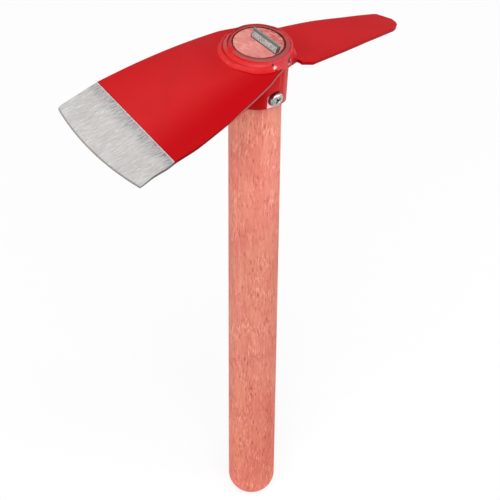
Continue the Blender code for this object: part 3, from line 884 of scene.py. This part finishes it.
def socket_finish():
    """Red enamel, rubbed thin on the rim and streaked down the tube, with painted light, shade and
    reflection.
    """
    finish = Finish("socket enamel")
    place = finish.head_place()
    x, y, z = finish.split(place)
    streaks = finish.noise(place, 330.0, 2.0, stretch=(1.0, 1.0, 0.12))
    wear = finish.noise(place, 420.0, 4.0, 0.65)
    smears = finish.noise(place, 190.0, 2.0, 0.5)
    on_rim = finish.rise(z + finish.rise(y, 0.0, 0.012) * 0.0009, -0.0012, -0.0003)
    # The rim: dulled and rubbed, with fresher smears and a run of enamel over its front, above the bore
    # darkened with painted shade
    colour = finish.wash(
        paint_colour(finish, (0.530, 0.0130, 0.0150), (0.570, 0.0150, 0.0170)),
        (finish.rise(streaks, 0.46, 0.66) * 0.5, (0.420, 0.0150, 0.0300)),
        (on_rim * 0.80, (0.440, 0.075, 0.068)),
        (on_rim * finish.rise(wear, 0.42, 0.60) * 0.60, (0.330, 0.105, 0.098)),
        (on_rim * finish.rise(smears, 0.56, 0.66) * 0.60, (0.560, 0.020, 0.022)),
        (finish.spot(place, *RIM_RUN) * 0.85, (0.600, 0.016, 0.020)),
        (finish.rise(y, -0.005, -0.014) * on_rim * 0.55, (0.320, 0.085, 0.095)),
        (finish.rise(finish.radius(place), 0.0161, 0.0158) * 0.94, (0.045, 0.003, 0.003)),
    )
    # The near side: the blade's painted shadow, a wavering painted highlight right of the screw, painted
    # light at the right, and a pale painted reflection below and to the left of the screw
    near = finish.rise(y, 0.0, -0.006) * (1 - on_rim)
    highlight_band = finish.line(x + (streaks - 0.5) * 0.0010, 0.0036, 0.0010) * finish.rise(z, -0.028, -0.020)
    reflection_patch = finish.rise(x, -0.0050, -0.0045) * finish.rise(x, 0.0060, 0.0030)
    reflection_tint = finish.blend(finish.rise(z, -0.0290, -0.0350), (1.0, 0.560, 0.580), (1.0, 0.660, 0.610))
    # Painted shade: the dark ring round the screw is wider at its upper left
    around = finish.distance(place, (0.0003, 0.0, -SCREW_DROP + 0.0003), (1, 0, 1))
    ring = finish.rise(around, SCREW_HEAD_RADIUS + 0.0007, SCREW_HEAD_RADIUS + 0.0003)
    colour = finish.wash(
        colour,
        (finish.rise(x, -0.0040, -0.0075) * near * 0.97, (0.450, 0.0004, 0.0014)),
        (highlight_band * near * 0.7, (0.720, 0.040, 0.036)),
        (finish.rise(x, 0.0058, 0.0085) * near * 0.7, (0.580, 0.083, 0.058)),
        (reflection_patch * finish.rise(z, -0.0262, -0.0282) * near * 0.92, reflection_tint),
        (ring * near * 0.94, (0.045, 0.002, 0.002)),
        # Painted shade along the foot of the tube
        (finish.rise(above_foot(finish, place), 0.0009, 0.0003) * 0.8, (0.110, 0.010, 0.006)),
    )
    return finish.surface(colour, 0.42 + on_rim * 0.16, 0.0, paint_normal(finish), specular=0.03)


def wedge_finish():
    """Sawn and hammered steel: a bright mottled face, painted shade on top, on its near end and at its foot.
    """
    finish = Finish("wedge steel")
    place = finish.head_place()
    x, y, z = finish.split(place)
    toward_far, up = finish.facing()[1:]
    mottle = finish.noise(place, 1050.0, 4.0, 0.7)
    pits = finish.noise(place, 2000.0, 3.0, 0.65)
    patches = finish.noise(place, 300.0, 2.0, 0.5)
    # Painted shade: dark on the top, paler toward its back edge, on the near end and where it goes into the
    # wood
    rim = finish.rise(behind_wedge(x, y) + (patches - 0.5) * 0.0010, 0.0006, 0.0016)
    top_shade = finish.blend(rim, (0.070, 0.078, 0.068), (0.230, 0.245, 0.225))
    colour = finish.wash(
        finish.blend(finish.rise(mottle, 0.40, 0.60), (0.196, 0.172, 0.182), (0.490, 0.438, 0.462)),
        (finish.rise(patches, 0.52, 0.66) * 0.45, (0.360, 0.420, 0.300)),
        (finish.rise(pits, 0.47, 0.37) * 0.75, (0.090, 0.070, 0.060)),
        (finish.rise(up, 0.70, 0.90) * 0.85, top_shade),
        (finish.rise(toward_far, -0.55, -0.80) * 0.85, (0.050, 0.044, 0.050)),
        (finish.rise(z, 0.0003, -0.0003) * 0.8, (0.085, 0.035, 0.022)),
    )
    return finish.surface(colour, 0.60, 0.45, finish.bump(mottle * 0.6 + pits * 0.4, 0.00018, 0.8))


def screw_finish():
    """Bright zinc plating with fine scratches, painted shade in blotches at its left and in the recess."""
    finish = Finish("screw zinc")
    place = finish.head_place()
    x, y = finish.split(place)[:2]
    scratch = finish.noise(finish.place, 1500.0, 3.0, 0.6)
    left_shade = finish.noise(finish.place, 520.0, 2.0, 0.6)
    crown = -SOCKET_RADIUS - SCREW_HEAD_HEIGHT
    # Painted shade in the cross recess
    recess = finish.rise(y, crown + 0.0006, crown + 0.0010)
    recess = recess * finish.rise(finish.distance(place, SCREW_CROWN), 0.0030, 0.0026)
    colour = finish.wash(
        finish.blend(finish.rise(scratch, 0.35, 0.65), (0.350, 0.348, 0.343), (0.520, 0.518, 0.511)),
        # Painted shade in blotches at the left
        (finish.rise(left_shade, 0.52, 0.42) * finish.rise(x, 0.0010, -0.0015) * 0.75, (0.200, 0.230, 0.205)),
        (recess * 0.92, (0.022, 0.024, 0.022)),
    )
    return finish.surface(colour, 0.28, 1.0, finish.bump(scratch, 0.00004, 0.5))


# Pieces


def foot_slant(place):
    """Where on its slant the foot of the tube is: 0 in front, 1 at the back."""
    return max(0, place.x / place.xy.length) ** 2


def front_turn(place):
    """Angle round the eye from the middle of the front, below 0 on the near side."""
    return math.atan2(place.y, -place.x)


def back_turn(place):
    """Degrees round the eye from the middle of the back, the same on both sides."""
    return abs(math.degrees(math.atan2(place.y, place.x)))


def aim_screw(piece):
    """Turn a piece made along z so that it points out of the near side of the tube."""
    piece.data.transform(
        Matrix.Translation((0, 0, -SCREW_DROP))
        @ Matrix.Rotation(SCREW_TURN, 4, "Z")
        @ Matrix.Rotation(math.pi / 2, 4, "X")
    )


def screw_space(name):
    """A plug a little wider than the screw's shank, to cut its hole with."""
    start = SOCKET_RADIUS - SCREW_LENGTH - 0.0005
    plug = make_plug(name, SCREW_RADIUS + 0.0002, start, SOCKET_RADIUS + SCREW_HEAD_HEIGHT, 48)
    aim_screw(plug)
    return plug


def tube_room(name):
    """A plug as wide as the tube, to cut the plates with."""
    return make_plug(name, SOCKET_RADIUS + 0.0001, -0.05, 0.01, 96)


def wedge_block(name, swell):
    """The wedge's tapered block, leaning back from where it was driven in."""
    put_down()
    bpy.ops.mesh.primitive_cube_add(size=0.01)
    wedge = take_up(name)
    starts = [vert.co.copy() for vert in bmesh.from_edit_mesh(wedge.data).verts]
    for index, start in enumerate(starts):
        outline, height = (WEDGE_TOP, swell) if start.z > 0 else (WEDGE_FOOT, -WEDGE_HEIGHT - swell)
        x, y = next((x, y) for x, y in outline if x * start.x > 0 and y * start.y > 0)
        put_corner(wedge, index, (x + math.copysign(swell, x), y + math.copysign(swell, y), height))
    close_up(wedge)
    wedge.data.transform(
        Matrix.Translation((*WEDGE_CENTRE, WEDGE_PROUD))
        @ Matrix.Rotation(WEDGE_TURN, 4, "Z")
        @ Matrix.Rotation(WEDGE_LEAN, 4, "Y")
    )
    return wedge


def shape_handle():
    """A stick with a domed butt, and a pared top that leans with the eye and is slotted and bored."""
    flat_turn = math.asin(BUTT_FLAT_RADIUS / HANDLE_RADIUS)
    profile = [(BUTT_FLAT_RADIUS, 0)]
    dome_rings = 14
    for i in range(1, dome_rings + 1):
        turn = flat_turn + (math.pi / 2 - flat_turn) * i / dome_rings
        height = BUTT_DOME_HEIGHT * (math.cos(flat_turn) - math.cos(turn))
        profile.append((HANDLE_RADIUS * math.sin(turn), height))
    dome_top = profile[-1][1]
    shoulder = SOCKET_FOOT - SHOULDER_FOOT
    stick_rings = 24
    for i in range(1, stick_rings + 1):
        profile.append((HANDLE_RADIUS, dome_top + (shoulder - dome_top) * i / stick_rings))
    top = SOCKET_FOOT + SOCKET_LENGTH - TENON_RECESS
    profile += [
        (TENON_RADIUS, SOCKET_FOOT - SHOULDER_TOP),
        (TENON_RADIUS, SOCKET_FOOT),
        (TENON_RADIUS, top - 0.0060),
        (TENON_TOP_RADIUS, top - 0.0016),
        (TENON_TOP_RADIUS - 0.0001, top - 0.0004),
        (TENON_TOP_RADIUS - 0.0004, top),
    ]
    handle = turn_profile("turned_handle", profile, 96)

    def on_shoulder(place):
        """The shoulder follows the slanting foot of the tube."""
        if SHOULDER_TOP * 0.9 < SOCKET_FOOT - place.z < SHOULDER_FOOT * 1.1:
            return foot_slant(place)
        return 0.0

    push(handle, on_shoulder, Z=-FOOT_SLANT)
    open_up(handle)
    pick(handle, "VERT", lambda vert: vert.co.z > SOCKET_FOOT + 0.001)
    bpy.ops.transform.rotate(
        value=-HANG_ANGLE, orient_axis="Y", orient_type="GLOBAL", center_override=(0, 0, SOCKET_FOOT)
    )
    put_down()
    for cutter in (wedge_block("slot", SLOT_GAP), screw_space("pilot hole")):
        lean_onto_handle(cutter)
        hollow_out(handle, cutter)
    return handle


def shape_wedge():
    """The wedge with its edges broken and its faces uneven."""
    wedge = wedge_block("driven_wedge", 0.0)
    break_edges(wedge, 0.00035)
    open_up(wedge)
    bpy.ops.mesh.subdivide(number_cuts=5)
    put_down()
    roughen(wedge, 0.00018, 0.0016)
    wedge.data.transform(Matrix.Translation((0, 0, -WEDGE_LOWERED)))
    return wedge


def shape_socket():
    """The tube: broken edges, a battered rim, a slanting foot and a hole for the screw."""
    foot = -SOCKET_LENGTH
    profile = [
        (SOCKET_RADIUS - 0.0005, 0),
        (SOCKET_RADIUS - 0.0002, -0.0001),
        (SOCKET_RADIUS, -0.0005),
        (SOCKET_RADIUS, -0.0060),
        (SOCKET_RADIUS, -0.0180),
        (SOCKET_RADIUS, foot + 0.0005),
        (SOCKET_RADIUS - 0.0002, foot + 0.0001),
        (SOCKET_RADIUS - 0.0005, foot),
        (BORE_RADIUS + 0.0004, foot),
        (BORE_RADIUS, foot + 0.0004),
        (BORE_RADIUS, -0.0060),
        (BORE_RADIUS, -0.0006),
        (BORE_RADIUS + 0.0002, -0.0002),
        (BORE_RADIUS + 0.0006, 0),
    ]
    socket = turn_profile("tube", profile, 96, whole=True)

    def slanting(place):
        return foot_slant(place) if place.z < foot + 0.0006 else 0.0

    def far_rim(place):
        """The far side of the rim is hammered down at its outer edge."""
        if place.z < -0.003:
            return 0.0
        return ease((place.xy.length - 0.0168) / 0.0019) * ease(place.y / 0.012)

    push(socket, slanting, Z=-FOOT_SLANT * math.cos(HANG_ANGLE), X=FOOT_SLANT * math.sin(HANG_ANGLE))
    push(socket, far_rim, Z=-RIM_HAMMERED_DOWN)
    roughen(socket, 0.00025, 0.006, lambda place: 1 + place.z / 0.003)
    hollow_out(socket, screw_space("socket hole"))
    return socket


def blade_half_width(reach):
    """Half the hoe blade's width at a distance from the axis of the eye."""
    share = reach / BLADE_REACH
    return sum(term * share**power for power, term in enumerate(BLADE_WIDTH_CURVE))


def blade_side(reach):
    """Height of the sides of the hoe blade's upper face, below the rim."""
    return -SIDE_DROP - SIDE_SLOPE * reach - SIDE_BEND * max(reach, 0) ** 2


def blade_camber(reach):
    """How far the middle stands above the sides."""
    if reach < CAMBER_REACH:
        return CAMBER * ease(reach / CAMBER_REACH)
    return CAMBER * ease((GROUND_LINE - reach) / (GROUND_LINE - CAMBER_REACH))


def edge_bow(y):
    """How far the bowed cutting edge stands out past its two corners."""
    half = blade_half_width(BLADE_REACH)
    past = max(0, abs(y) - (half - EDGE_CORNER_RADIUS))
    rounding = EDGE_CORNER_RADIUS - math.sqrt(max(0, EDGE_CORNER_RADIUS**2 - past**2))
    return EDGE_BULGE * (1 - (y / half) ** 2) - rounding + EDGE_CORNER_RADIUS


def ground_share(reach):
    """0 at the ground line and 1 at the corners of the cutting edge."""
    corner = BLADE_REACH - EDGE_CORNER_RADIUS
    return min(max((reach - GROUND_LINE) / (corner - GROUND_LINE), 0), 1)


def blade_row_half(reach):
    """Half the width of the sheet's row at a reach, before the edge is bowed."""
    return blade_half_width(reach + EDGE_CORNER_RADIUS * ground_share(reach))


def by_near_side(place, power):
    """0 in the middle of the hoe blade and 1 at its near side, rising late for a high power."""
    return min(1, max(0, -place.y / blade_half_width(-place.x))) ** power


def crowd_to_sides(sheet):
    """Move the sheet's columns closer together toward its two sides, for its corners."""
    open_up(sheet)
    for column in range(BLADE_COLUMNS // 2 - 1, 0, -1):
        across = 2 * column / BLADE_COLUMNS
        pick(sheet, "VERT", lambda vert: abs(abs(vert.co.y) / blade_row_half(-vert.co.x) - across) < 0.001)
        widening = math.sin(across * math.pi / 2) / across
        bpy.ops.transform.resize(value=(1, widening, 1), center_override=(0, 0, 0))
    put_down()


def shape_hoe_blade():
    """A broad plate: pulled out row by row, cambered, bowed at its edge, thickened and ground on top."""
    corner = BLADE_REACH - EDGE_CORNER_RADIUS
    reaches = [BLADE_BACK + (GROUND_LINE - BLADE_BACK) * i / PAINTED_ROWS for i in range(PAINTED_ROWS + 1)]
    reaches += [GROUND_LINE + (corner - GROUND_LINE) * i / GROUND_ROWS for i in range(1, GROUND_ROWS + 1)]
    rows = []
    for reach in reaches:
        half = blade_row_half(reach)
        removed = ground_share(reach) * (BLADE_THICKNESS - EDGE_THICKNESS)
        rows.append((-reach, -half, half, blade_side(reach) - removed))
    blade = pull_strip("broad_plate", rows, BLADE_COLUMNS)
    crowd_to_sides(blade)

    def cambered(place):
        across = min(1, abs(place.y) / blade_half_width(-place.x))
        return blade_camber(-place.x) / CAMBER * (1 - across**2)

    def far_root(place):
        """Beside the tube the far edge is drawn in."""
        outer = max(0, place.y / blade_half_width(-place.x)) ** 2
        return outer * (1 + place.x / 0.009)

    def near_edge(place):
        """Along its painted length the near edge stands out a little, most in the middle."""
        reach = -place.x
        most = 0.65 * ease((reach - 0.004) / 0.010) + 0.35 * ease((reach - 0.035) / 0.015)
        return by_near_side(place, 4) * most * ease((0.090 - reach) / 0.020)

    def near_corner(place):
        """At the cutting edge the near corner is drawn in."""
        return by_near_side(place, 4) * ease((-place.x - 0.090) / 0.012)

    push(blade, cambered, Z=CAMBER)
    push(blade, far_root, Y=-FAR_ROOT_DRAWN_IN)
    push(blade, near_edge, Y=-NEAR_EDGE_STANDS_OUT)
    push(blade, near_corner, Y=NEAR_CORNER_DRAWN_IN)
    push(blade, lambda place: ground_share(-place.x) ** 0.7, Z=-CUTTING_EDGE_LOWERED)
    # The cutting edge is bowed out, along the fall of the plate
    bow = EDGE_BULGE + EDGE_CORNER_RADIUS
    fall = SIDE_SLOPE + 2 * SIDE_BEND * BLADE_REACH
    push(blade, lambda place: ground_share(-place.x) * edge_bow(place.y) / bow, X=-bow, Z=-bow * fall)

    def tilted(place):
        """How far a corner follows the ground line, which runs a little askew across the plate."""
        reach = -place.x
        if reach < GROUND_LINE:
            return (reach - BLADE_BACK) / (GROUND_LINE - BLADE_BACK)
        return 1 - (reach - GROUND_LINE) / (corner + edge_bow(place.y) - GROUND_LINE)

    half = blade_half_width(GROUND_LINE)
    askew = GROUND_LINE_TILT * half
    fall = SIDE_SLOPE + 2 * SIDE_BEND * GROUND_LINE
    for side in (-1, 1):
        push(
            blade,
            lambda place: tilted(place) * max(side * place.y, 0) / half,
            X=side * askew,
            Z=side * askew * fall,
        )

    def thick(place):
        """The plate is ground down evenly from the ground line to its edge."""
        line = GROUND_LINE - GROUND_LINE_TILT * place.y
        full = corner + edge_bow(place.y) - line
        return 1 - (1 - EDGE_THICKNESS / BLADE_THICKNESS) * min(max((-place.x - line) / full, 0), 1)

    finish_with(
        blade, "SOLIDIFY", thickness=BLADE_THICKNESS, offset=-1, vertex_group=weigh(blade, thick)
    )
    blade.vertex_groups.clear()

    def under_near_edge(place):
        """How much a corner belongs to the lower corner of the plate's near edge."""
        return 0.0 if place.z > blade_side(-place.x) - 0.0011 else by_near_side(place, 6)

    def by_the_tube(place):
        return under_near_edge(place) * ease((0.058 + place.x) / 0.030)

    def along_the_edge(place):
        start = ease((-0.035 - place.x) / 0.015)
        fade = 0.55 + 0.45 * ease((0.095 + place.x) / 0.020)
        return under_near_edge(place) * start * fade * (1 - ground_share(-place.x)) ** 0.5

    push(blade, by_the_tube, Z=-UNDERSIDE_LOWERED)
    push(blade, along_the_edge, Z=UNDERSIDE_RAISED)
    close_up(blade)
    break_edges(blade, 0.00020, sharper_than=50)
    return blade


def shape_rear_blade():
    """A narrow plate with a neck at the tube, shoulders and a blunt point."""
    rows = []
    for start, end in zip(REAR_ROWS, (*REAR_ROWS[1:], REAR_ROWS[-1])):
        steps = max(1, round((end[0] - start[0]) / REAR_ROW_STEP))
        for i in range(steps):
            station, near, far = [a + (b - a) * (i / steps) for a, b in zip(start, end)]
            run = station - REAR_ROOT_STATION
            rows.append((station, near, far, -REAR_ROOT_DROP - REAR_SLOPE * run - REAR_BEND * run**2))
    blade = pull_strip("narrow_plate", rows, 12)
    finish_with(blade, "SOLIDIFY", thickness=REAR_THICKNESS, offset=-1)
    close_up(blade)
    break_edges(blade, 0.00025, segments=3, sharper_than=50)
    return blade


def shape_hoe_weld(blade):
    """A collar round the front of the tube: a flank, a groove and a round band, laid on the hoe blade."""
    section = [
        (0.0188, -0.0002), (0.0193, -0.00025), (0.0199, -0.0005), (0.0206, -0.0008), (0.0211, -0.0011),
        (0.0215, -0.0015), (0.0218, -0.0018), (0.0220, -0.0017), (0.0223, -0.0013), (0.0228, -0.0011),
        (0.0234, -0.0012), (0.0239, -0.0015), (0.0244, -0.0020), (0.0249, -0.0025), (0.0250, -0.0028),
        (0.0240, -0.0028), (0.0215, -0.0028), (0.0188, -0.0028),
    ]
    weld = spin_section("collar", section, math.pi - HOE_WELD_FAR_END, math.pi - HOE_WELD_NEAR_END, 110)
    width = HOE_WELD_RADIUS - SOCKET_RADIUS
    shoulder = ((0.0234, 0.0), (0.0239, 0.05), (0.0244, 0.20), (0.0249, 0.90))

    def off_foot(place):
        return place.z >= HOE_WELD_FOOT

    def rounded(place):
        """How far the ends of the bead round off toward the plate."""
        angle = front_turn(place)
        past = max(HOE_WELD_NEAR_END - angle, angle - HOE_WELD_FAR_END) / HOE_WELD_END_ROUNDING + 1
        if past < 0 or not off_foot(place):
            return 0.0
        outer = ease((place.xy.length - 0.0198) / 0.0012)
        return outer * (1 - math.sqrt(max(0, 1 - min(past, 1) ** 2)))

    def rolled_over(place):
        """The band's outer side falls as a quarter round, deepest beside the tube."""
        roll = read_off(shoulder, place.xy.length) * (1 + math.sin(front_turn(place)) ** 2) / 2
        return roll if off_foot(place) else 0.0

    def far_fade(place):
        return ease((front_turn(place) - FAR_END_START) / (HOE_WELD_FAR_END - FAR_END_START))

    def near_side(place):
        """On its near side the band's outer side is drawn in a little."""
        angle = math.degrees(front_turn(place))
        return ease((-15 - angle) / 15) * ease((place.xy.length - 0.0226) / 0.0018)

    push(weld, rounded, Z=-HOE_WELD_END_DROP)
    push(weld, rolled_over, Z=-HOE_WELD_SHOULDER_DROP)
    push(weld, lambda place: far_fade(place) * off_foot(place), Z=-FAR_END_DROP)
    drawn_in = FAR_END_SQUEEZE * width
    spread(weld, -drawn_in, lambda place: far_fade(place) * (place.xy.length - SOCKET_RADIUS) / width)
    spread(weld, -HOE_WELD_NEAR_SQUEEZE, near_side)
    # Tilted to the plate, and its foot let down onto it
    weld.data.transform(Matrix.Rotation(-HOE_WELD_TILT, 4, "Y"))
    tilt = math.sin(HOE_WELD_TILT)
    finish_with(
        weld,
        "SHRINKWRAP",
        target=blade,
        wrap_method="PROJECT",
        use_project_x=False,
        use_project_y=False,
        use_project_z=True,
        use_negative_direction=True,
        use_positive_direction=False,
        vertex_group=weigh(weld, lambda place: place.z - place.x * tilt < -0.00275),
    )
    weld.vertex_groups.clear()
    roughen(weld, 0.00012, 0.0035)
    return weld


def shape_rear_weld():
    """Weld metal round the back of the tube, flared onto the rear blade's root and run out over the arms."""
    top = REAR_WELD_TOP
    foot = -REAR_ROOT_DROP + 0.0001
    outer = REAR_WELD_RADIUS
    crown = top - 0.0010
    section = [(0.0188, top), (0.0193, top - 0.0001), (0.0199, top - 0.0004), (outer - 0.0001, crown)]
    section += [(outer, crown - (crown - foot) * i / 11) for i in range(1, 12)]
    section += [(outer - 0.0004, foot), (0.0188, foot)]
    weld = spin_section("back_weld", section, -REAR_WELD_HALF_ANGLE, REAR_WELD_HALF_ANGLE, 150)

    def low(place):
        return min(max((crown - place.z) / (crown - foot), 0), 1)

    def flared(place):
        if place.xy.length < outer - 0.0002:
            return 0.0
        turn = math.radians(back_turn(place))
        return ease((FLARE_HALF_ANGLE - turn) / FLARE_FADE) * ease((low(place) - 0.30) / 0.70)

    def run_out(place):
        if place.xy.length < outer - 0.0002:
            return 0.0
        turn = back_turn(place)
        reach = ease((turn - 70) / 16) - ARM_WELD_DRAWN_IN / ARM_WELD_SPREAD * ease((turn - 96) / 6.6)
        if place.y > 0:
            return reach * ARM_WELD_FAR_SHARE * low(place) ** ARM_WELD_FAR_ROUNDING
        return reach * low(place) ** ARM_WELD_ROUNDING

    deepest = REAR_WELD_FOOT[0][1]

    def lifted(place):
        """The foot climbs from the rear blade's root to the arms of the hoe blade."""
        return low(place) * (deepest - read_off(REAR_WELD_FOOT, back_turn(place))) / deepest

    def far_side(place):
        """On its far side the weld lies lower."""
        if place.y < 0:
            return 0.0
        upper = min(1, max(0, (place.z + 0.0060) / 0.0045))
        return upper * ease((back_turn(place) - 15) / 35) * ease((place.xy.length - 0.0188) / 0.0014)

    spread(weld, REAR_WELD_FLARE, flared)
    spread(weld, ARM_WELD_SPREAD, run_out)
    push(weld, lifted, Z=deepest)
    push(weld, far_side, Z=-REAR_WELD_FAR_DROP)
    roughen(weld, 0.00030, 0.004)
    # The pit in the near arm
    put_down()
    bpy.ops.mesh.primitive_uv_sphere_add(segments=20, ring_count=12, radius=1)
    pit = take_up("pit")
    bpy.ops.mesh.select_all(action="SELECT")
    bpy.ops.transform.resize(value=PIT_SIZE)
    bpy.ops.transform.translate(value=(REAR_WELD_RADIUS, 0, -PIT_DROP))
    bpy.ops.transform.rotate(
        value=-PIT_TURN, orient_axis="Z", orient_type="GLOBAL", center_override=(0, 0, 0)
    )
    put_down()
    hollow_out(weld, pit)
    return weld


def shape_screw():
    """A pan-head screw with a cross recess and a plain shank."""
    seat = SOCKET_RADIUS
    profile = [(SCREW_HEAD_RADIUS * 0.30, seat + SCREW_HEAD_HEIGHT * 1.02)]
    for i in range(9):
        turn = math.pi / 2 * i / 8
        radius = SCREW_HEAD_RADIUS * (0.55 + 0.45 * math.sin(turn))
        profile.append((radius, seat + SCREW_HEAD_HEIGHT * (0.45 + 0.55 * math.cos(turn))))
    profile += [
        (SCREW_HEAD_RADIUS, seat + 0.0003),
        (SCREW_HEAD_RADIUS - 0.0003, seat),
        (SCREW_RADIUS, seat),
        (SCREW_RADIUS, seat - SCREW_LENGTH + SCREW_POINT),
        (0.0002, seat - SCREW_LENGTH),
    ]
    screw = turn_profile("pan_screw", profile, 48)
    height = RECESS_DEPTH * 2
    middle = seat + SCREW_HEAD_HEIGHT - RECESS_DEPTH + height / 2
    for turn in (RECESS_TURN, RECESS_TURN + 90):
        put_down()
        bpy.ops.mesh.primitive_cube_add(size=1, location=(0, 0, middle))
        cross = take_up("cross")
        bpy.ops.mesh.select_all(action="SELECT")
        bpy.ops.transform.resize(value=(RECESS_SPAN, RECESS_WIDTH, height), center_override=(0, 0, middle))
        pick(cross, "FACE", lambda face: face.normal.z < -0.5)
        bpy.ops.transform.resize(value=(0.45, 0.8, 1))
        put_down()
        cross.data.transform(cross.matrix_world)
        cross.matrix_world = Matrix.Identity(4)
        cross.data.transform(Matrix.Rotation(math.radians(turn), 4, "Z"))
        hollow_out(screw, cross)
    aim_screw(screw)
    return screw


# Studio


def seen_share(tree):
    """1 for what is seen, also in a mirror or through glass, and 0 for the light that falls on things."""
    light = node(tree, "ShaderNodeLightPath", {}).value.node
    camera, glossy, glass = [
        Wire(tree, light.outputs[f"Is {kind} Ray"]) for kind in ("Camera", "Glossy", "Transmission")
    ]
    return camera + glossy + glass


def add_lamp(name, place, size, power):
    """A soft square lamp turned toward the hoe."""
    data = bpy.data.lights.new(name, "AREA")
    data.shape = "RECTANGLE"
    data.size, data.size_y = size
    data.energy = power
    lamp = bpy.data.objects.new(name, data)
    bpy.context.scene.collection.objects.link(lamp)
    lamp.location = place
    lamp.rotation_euler = (Vector(LAMPS_AIM) - Vector(place)).to_track_quat("-Z", "Y").to_euler()


def add_floor():
    """A pale floor that shows the hoe's shadow faintly."""
    put_down()
    bpy.ops.mesh.primitive_plane_add(size=FLOOR_SIZE)
    floor = bpy.context.object
    floor.name = "floor"
    finish = Finish("pale floor")
    matt = finish.add("ShaderNodeBsdfDiffuse", {}, Color=FLOOR_WHITE)
    white = finish.add("ShaderNodeEmission", {}, Color=PURE_WHITE, Strength=1.0)
    share = seen_share(finish.tree).maths("MULTIPLY", FLOOR_GLOW, clamp=True)
    finish.add("ShaderNodeOutputMaterial", {}, finish.add("ShaderNodeMixShader", {}, share, matt, white))
    floor.data.materials.append(finish.material)


def light_studio():
    """An even pale room with soft lamps."""
    world = bpy.data.worlds.new("studio")
    bpy.context.scene.world = world
    world.use_nodes = True
    tree = world.node_tree
    tree.nodes.clear()
    room = node(tree, "ShaderNodeBackground", {}, PURE_WHITE, ROOM_LIGHT)
    white = node(tree, "ShaderNodeBackground", {}, PURE_WHITE, 1.0)
    mixed = node(tree, "ShaderNodeMixShader", {}, seen_share(tree), room, white)
    node(tree, "ShaderNodeOutputWorld", {}, mixed)
    for lamp in LAMPS:
        add_lamp(*lamp)


def set_camera():
    """The photograph's view: from the near left, above the head, through a long lens."""
    data = bpy.data.cameras.new("camera")
    data.sensor_width = 36.0
    data.lens = CAMERA_LENS
    data.clip_start = 0.05
    data.clip_end = 20.0
    camera = bpy.data.objects.new("camera", data)
    camera.matrix_world = (
        Matrix.Translation(CAMERA_PLACE)
        @ Matrix.Rotation(CAMERA_TURN, 4, "Z")
        @ Matrix.Rotation(CAMERA_TILT, 4, "X")
        @ Matrix.Rotation(CAMERA_ROLL, 4, "Z")
    )
    bpy.context.scene.collection.objects.link(camera)
    bpy.context.scene.camera = camera
    bpy.context.scene.view_settings.view_transform = "Standard"


def main():
    """Shape, dress and light the hoe."""
    handle = shape_handle()
    wedge = shape_wedge()
    socket = shape_socket()
    hoe_blade = shape_hoe_blade()
    hoe_weld = shape_hoe_weld(hoe_blade)
    hollow_out(hoe_blade, tube_room("hoe blade room"))
    rear_blade = shape_rear_blade()
    hollow_out(rear_blade, tube_room("rear blade room"))
    rear_weld = shape_rear_weld()
    screw = shape_screw()
    # The handle is shaped where it stands, and only the head leans
    for piece in (wedge, socket, hoe_blade, hoe_weld, rear_blade, rear_weld, screw):
        lean_onto_handle(piece)
    hoe_weld_paint = weld_finish(
        "hoe weld enamel",
        reds=((0.555, 0.0098, 0.0118), (0.600, 0.0132, 0.0152)),
        highlights=[MEETING_HIGHLIGHT],
        pits=[MEETING_NOTCH_SHADE],
        specular=0.3,
        groove=HOE_WELD_GROOVE,
    )
    rear_weld_paint = weld_finish(
        "rear weld enamel",
        reds=((0.520, 0.0100, 0.0130), (0.570, 0.0140, 0.0170)),
        highlights=[*REAR_WELD_HIGHLIGHTS, MEETING_HIGHLIGHT],
        pits=[PIT_SHADE, MEETING_NOTCH_SHADE],
        specular=0.2,
    )
    dress(handle, 35, handle_wood(), "handle")
    dress(wedge, 40, wedge_finish(), "steel_wedge")
    dress(socket, 40, socket_finish(), "eye_socket")
    dress(hoe_blade, 35, hoe_blade_finish(), "hoe_blade")
    dress(hoe_weld, 35, hoe_weld_paint, "hoe_weld")
    dress(rear_blade, 35, rear_blade_finish(), "rear_blade")
    dress(rear_weld, 45, rear_weld_paint, "rear_weld")
    dress(screw, 35, screw_finish(), "socket_screw")
    add_floor()
    light_studio()
    set_camera()


main()
